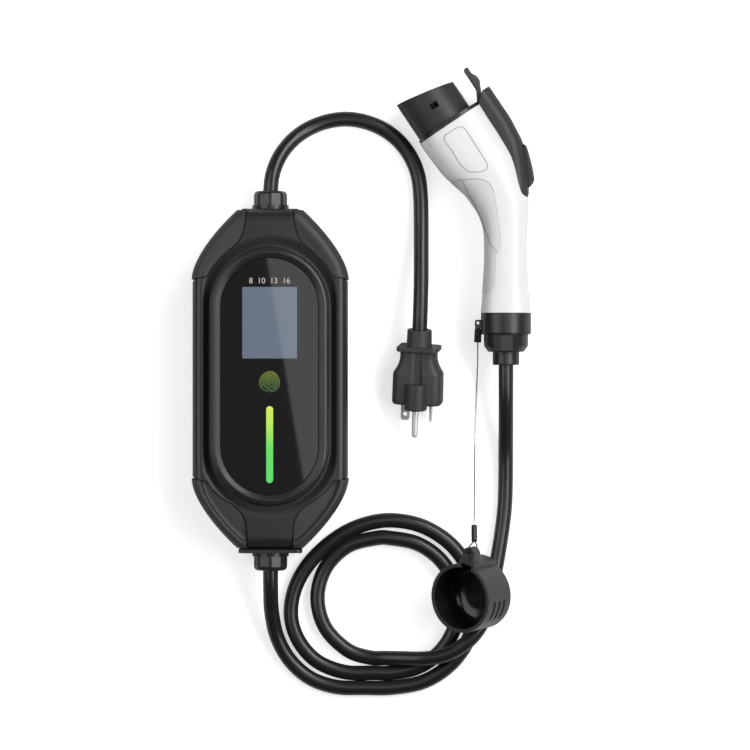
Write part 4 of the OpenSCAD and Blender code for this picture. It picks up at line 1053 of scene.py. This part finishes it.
for k in (-1, 1):
    flute = [(k * 10.4 + 1.3 * c, PLUG_H / 2 - 0.1 + 1.1 * s) for c, s in circle(1, 20)]
    combine(plug, prism("flute", flute, boss_foot - 7, PLUG_L + 1))
combine(plug, bore("cable_seat", 0, 0, -SLEEVE_L - 1, -SLEEVE_L + 4, 5.8))
combine(plug, bore("pin_seat", 0, GROUND_Y, PLUG_L - 12, 90, 2.15))
for k in (-1, 1):
    wide, thick = (3.225, 0.8) if k < 0 else (0.8, 3.225)
    corners = box_plan(wide, thick, k * BLADE_GAP / 2, BLADE_Y)
    combine(plug, prism("blade_seat", corners, PLUG_L - BLADE_ROOT - 0.05, 70))
finished(moved(plug, PLUG_FRAME), "plug_charcoal", "plug_body")


# Dust cap, drawn with its mouth at the top of its own frame
CAP_FRAME = frame_at((137.7, -159, 50.7), (8.6, "Z"), (-36, "Y"), (66.5, "Z"))
CAP_R, CAP_BORE_R, CAP_L = 25.25, 22.6, 30
HUMP_R, HUMP_HALF, LUG_AT, LUG_R = 28.45, 7, 33.65, 5.2
# Places of the slots along the cap, their radius, and the radius of the dark bars of painted shade at their
# bottoms
SLOTS_AT, SLOT_R, SLOT_SHADE_R = (-8.4, -14.4, -20.4), 1.4, 0.9
# Height and radius of the inside, from its rounded floor up to the mouth
HOLLOW = [(-27.4, 11), (-27.2, 14), (-26.5, 17), (-25.3, 19.2), (-23.6, 20.9), (-21.4, 22), (-19, 22.5),
          (-17, CAP_BORE_R), (-0.6, CAP_BORE_R)]


def hump_room():
    """Opening from the cap's inside into the hump."""
    return prism("way", rounded(box_plan(4.525, 4.6, 21.525), 1, 4), -23.6, 2)


cap = lathe("cap", [(-CAP_L, 23.4), (-CAP_L + 0.3, 24.4), (-CAP_L + 0.9, 25), (-CAP_L + 1.8, CAP_R),
                    (-2, CAP_R), (-0.4, CAP_R), (-0.15, 25.15), (0, 24.95)])
hump = rounded(box_plan(HUMP_R / 2, HUMP_HALF, HUMP_R / 2), 1.6, 5)
combine(cap, slab("hump", hump, -CAP_L + 1, 0, 0.8, steps=3, upper=0.3), "UNION")
lug_turns = [radians(-90 + 10 * i) for i in range(19)]
lug = [(26, -LUG_R), *[(LUG_AT + LUG_R * cos(a), LUG_R * sin(a)) for a in lug_turns], (26, LUG_R)]
combine(cap, slab("lug", lug, -8, 0, 0.5, steps=3, upper=0.3), "UNION")
combine(cap, lathe("hollow", HOLLOW + [(-0.1, 22.75), (0.05, 22.95), (1, 24)]))
combine(cap, hump_room())
# Dark sheet over the inside of the cap: painted shade of its hollow
painted_shade_sheet = lathe("cap_painted_shade", [(z - 0.1, r + 0.1) for z, r in HOLLOW])
combine(painted_shade_sheet, lathe("room", [(z + 0.1, r - 0.1) for z, r in HOLLOW + [(1, CAP_BORE_R)]]))
combine(painted_shade_sheet, hump_room())
finished(moved(painted_shade_sheet, CAP_FRAME), "cap_rubber", look="trigger_black_and_painted_shade", angle=28)
combine(cap, bore("eye", LUG_AT, 0, -20, 5, 2.1))
combine(cap, lathe("eye_edge", [(-0.9, 2), (0.1, 3.1), (1, 4)], 32, LUG_AT))


def slot_bar(name, z, middle, thick):
    """A bar around the cap with round ends, from its thickness at each turn in degrees."""
    rings = []
    for turn, share in ((-116, 0.25), (-115.5, 0.7), (-114.5, 0.95), (-113, 1), (-106, 1), (-98, 1), (-90, 1),
                        (-83, 1), (-81.5, 0.95), (-80.5, 0.7), (-80, 0.25)):
        c, s = cos(radians(turn)), sin(radians(turn))
        rings.append([((middle + a) * c, (middle + a) * s, z + b) for a, b in circle(thick * share, 16)])
    return skin(name, rings)


for i, z in enumerate(SLOTS_AT, 1):
    combine(cap, slot_bar("slot", z, CAP_R + 0.05, SLOT_R))
    # A dark bar at the bottom of each slot is painted shade in it
    finished(moved(slot_bar("slot_painted_shade_" + str(i), z, CAP_R - 1.5, SLOT_SHADE_R), CAP_FRAME), "cap_rubber",
             look="trigger_black_and_painted_shade")
finished(moved(cap, CAP_FRAME), "cap_rubber", "dust_cap", angle=28)

# Rounded edges on the small CAD pieces that stay in sight
for node, width in (("end_plate", 0.5), ("blade_flat", 0.25), ("blade_upright", 0.25), ("head_flange", 0.4),
                    ("lower_ferrule", 0.3), ("inlet_gland", 0.3), ("outlet_gland", 0.3),
                    ("nose_shroud", 0.3)):
    edges = frame["nodes"][node].modifiers.new("edges", "BEVEL")
    edges.width = width / 1000
    edges.segments = 2
    edges.limit_method = "ANGLE"
    edges.angle_limit = radians(40)
    edges.harden_normals = True
    frame["nodes"][node].modifiers.new("normals", "WEIGHTED_NORMAL").keep_sharp = True

# Floor, lamps and world
FLOOR_SIZE = 6.0
bpy.ops.mesh.primitive_plane_add(size=FLOOR_SIZE, location=(0.076, 0, 0))
floor = bpy.context.object
floor.name = "floor"
nodes, links, shader = material("floor_white", (0.82, 0.82, 0.82), 0.9, specular=0.0)
path = nodes.new("ShaderNodeLightPath")
socket(shader, "Emission Color", (1, 1, 1, 1))
links.new(spread(nodes, links, path.outputs["Is Camera Ray"], 0.0, 0.6), shader.inputs["Emission Strength"])
floor.data.materials.append(LOOKS["floor_white"])

# Sky that shows in reflections: a paler and a darker side, and a dark top
HORIZON, DARK_SIDE, ZENITH = 1.05, 0.75, 0.2
PALE_WAY = (0.4, 0.92, 0)
world = bpy.data.worlds.new("studio")
world.use_nodes = True
scene.world = world
nodes = world.node_tree.nodes
links = world.node_tree.links
way = nodes.new("ShaderNodeTexCoord").outputs["Generated"]
side = nodes.new("ShaderNodeVectorMath")
side.operation = "DOT_PRODUCT"
side.inputs[1].default_value = PALE_WAY
links.new(way, side.inputs[0])
rim = spread(nodes, links, side.outputs["Value"], DARK_SIDE, HORIZON, -0.9, 0.7, "SMOOTHSTEP")
split = nodes.new("ShaderNodeSeparateXYZ")
links.new(way, split.inputs["Vector"])
sky = spread(nodes, links, split.outputs["Z"], 0.0, ZENITH, 0.05, 0.95, "SMOOTHSTEP")
links.new(rim, sky.node.inputs["To Min"])
path = nodes.new("ShaderNodeLightPath")
white = nodes.new("ShaderNodeMath")
white.operation = "MAXIMUM"
links.new(path.outputs["Is Camera Ray"], white.inputs[0])
links.new(path.outputs["Is Transmission Ray"], white.inputs[1])
strength = nodes.new("ShaderNodeMix")
strength.inputs["B"].default_value = 1.0
links.new(white.outputs["Value"], strength.inputs["Factor"])
links.new(sky, strength.inputs["A"])
links.new(strength.outputs["Result"], nodes["Background"].inputs["Strength"])


def lamp(name, at, target, size, power):
    data = bpy.data.lights.new(name, "AREA")
    data.shape = "RECTANGLE"
    data.size, data.size_y = size
    data.energy = power
    obj = bpy.data.objects.new(name, data)
    obj.location = at
    obj.rotation_euler = (Vector(target) - Vector(at)).to_track_quat("-Z", "Y").to_euler()
    obj.visible_camera = False
    scene.collection.objects.link(obj)
    return obj


MIDDLE = (0.076, 0, 0.03)
lamp("key", (0.95, 1.05, 1.35), MIDDLE, (0.8, 0.8), 13.3)
lamp("right", (0.98, 0.05, 1.1), MIDDLE, (1.3, 0.6), 11.2)
lamp("left", (-0.95, 0.25, 1.15), MIDDLE, (1.4, 1.1), 9.5)

# Softbox over the right half, whose slanted left edge shows in the glass
CARD_SIZE = (0.8, 0.44)
CARD_TURN = radians(9.37)
CARD_EDGE = (-0.008, 0.0075)
card = lamp("softbox", (0, 0, 1), (0, 0, 0), CARD_SIZE, 1.5)
card.rotation_euler = (0, 0, CARD_TURN)
card.location = (CARD_EDGE[0] + CARD_SIZE[0] / 2 * cos(CARD_TURN),
                 CARD_EDGE[1] + CARD_SIZE[0] / 2 * sin(CARD_TURN), 1.0)
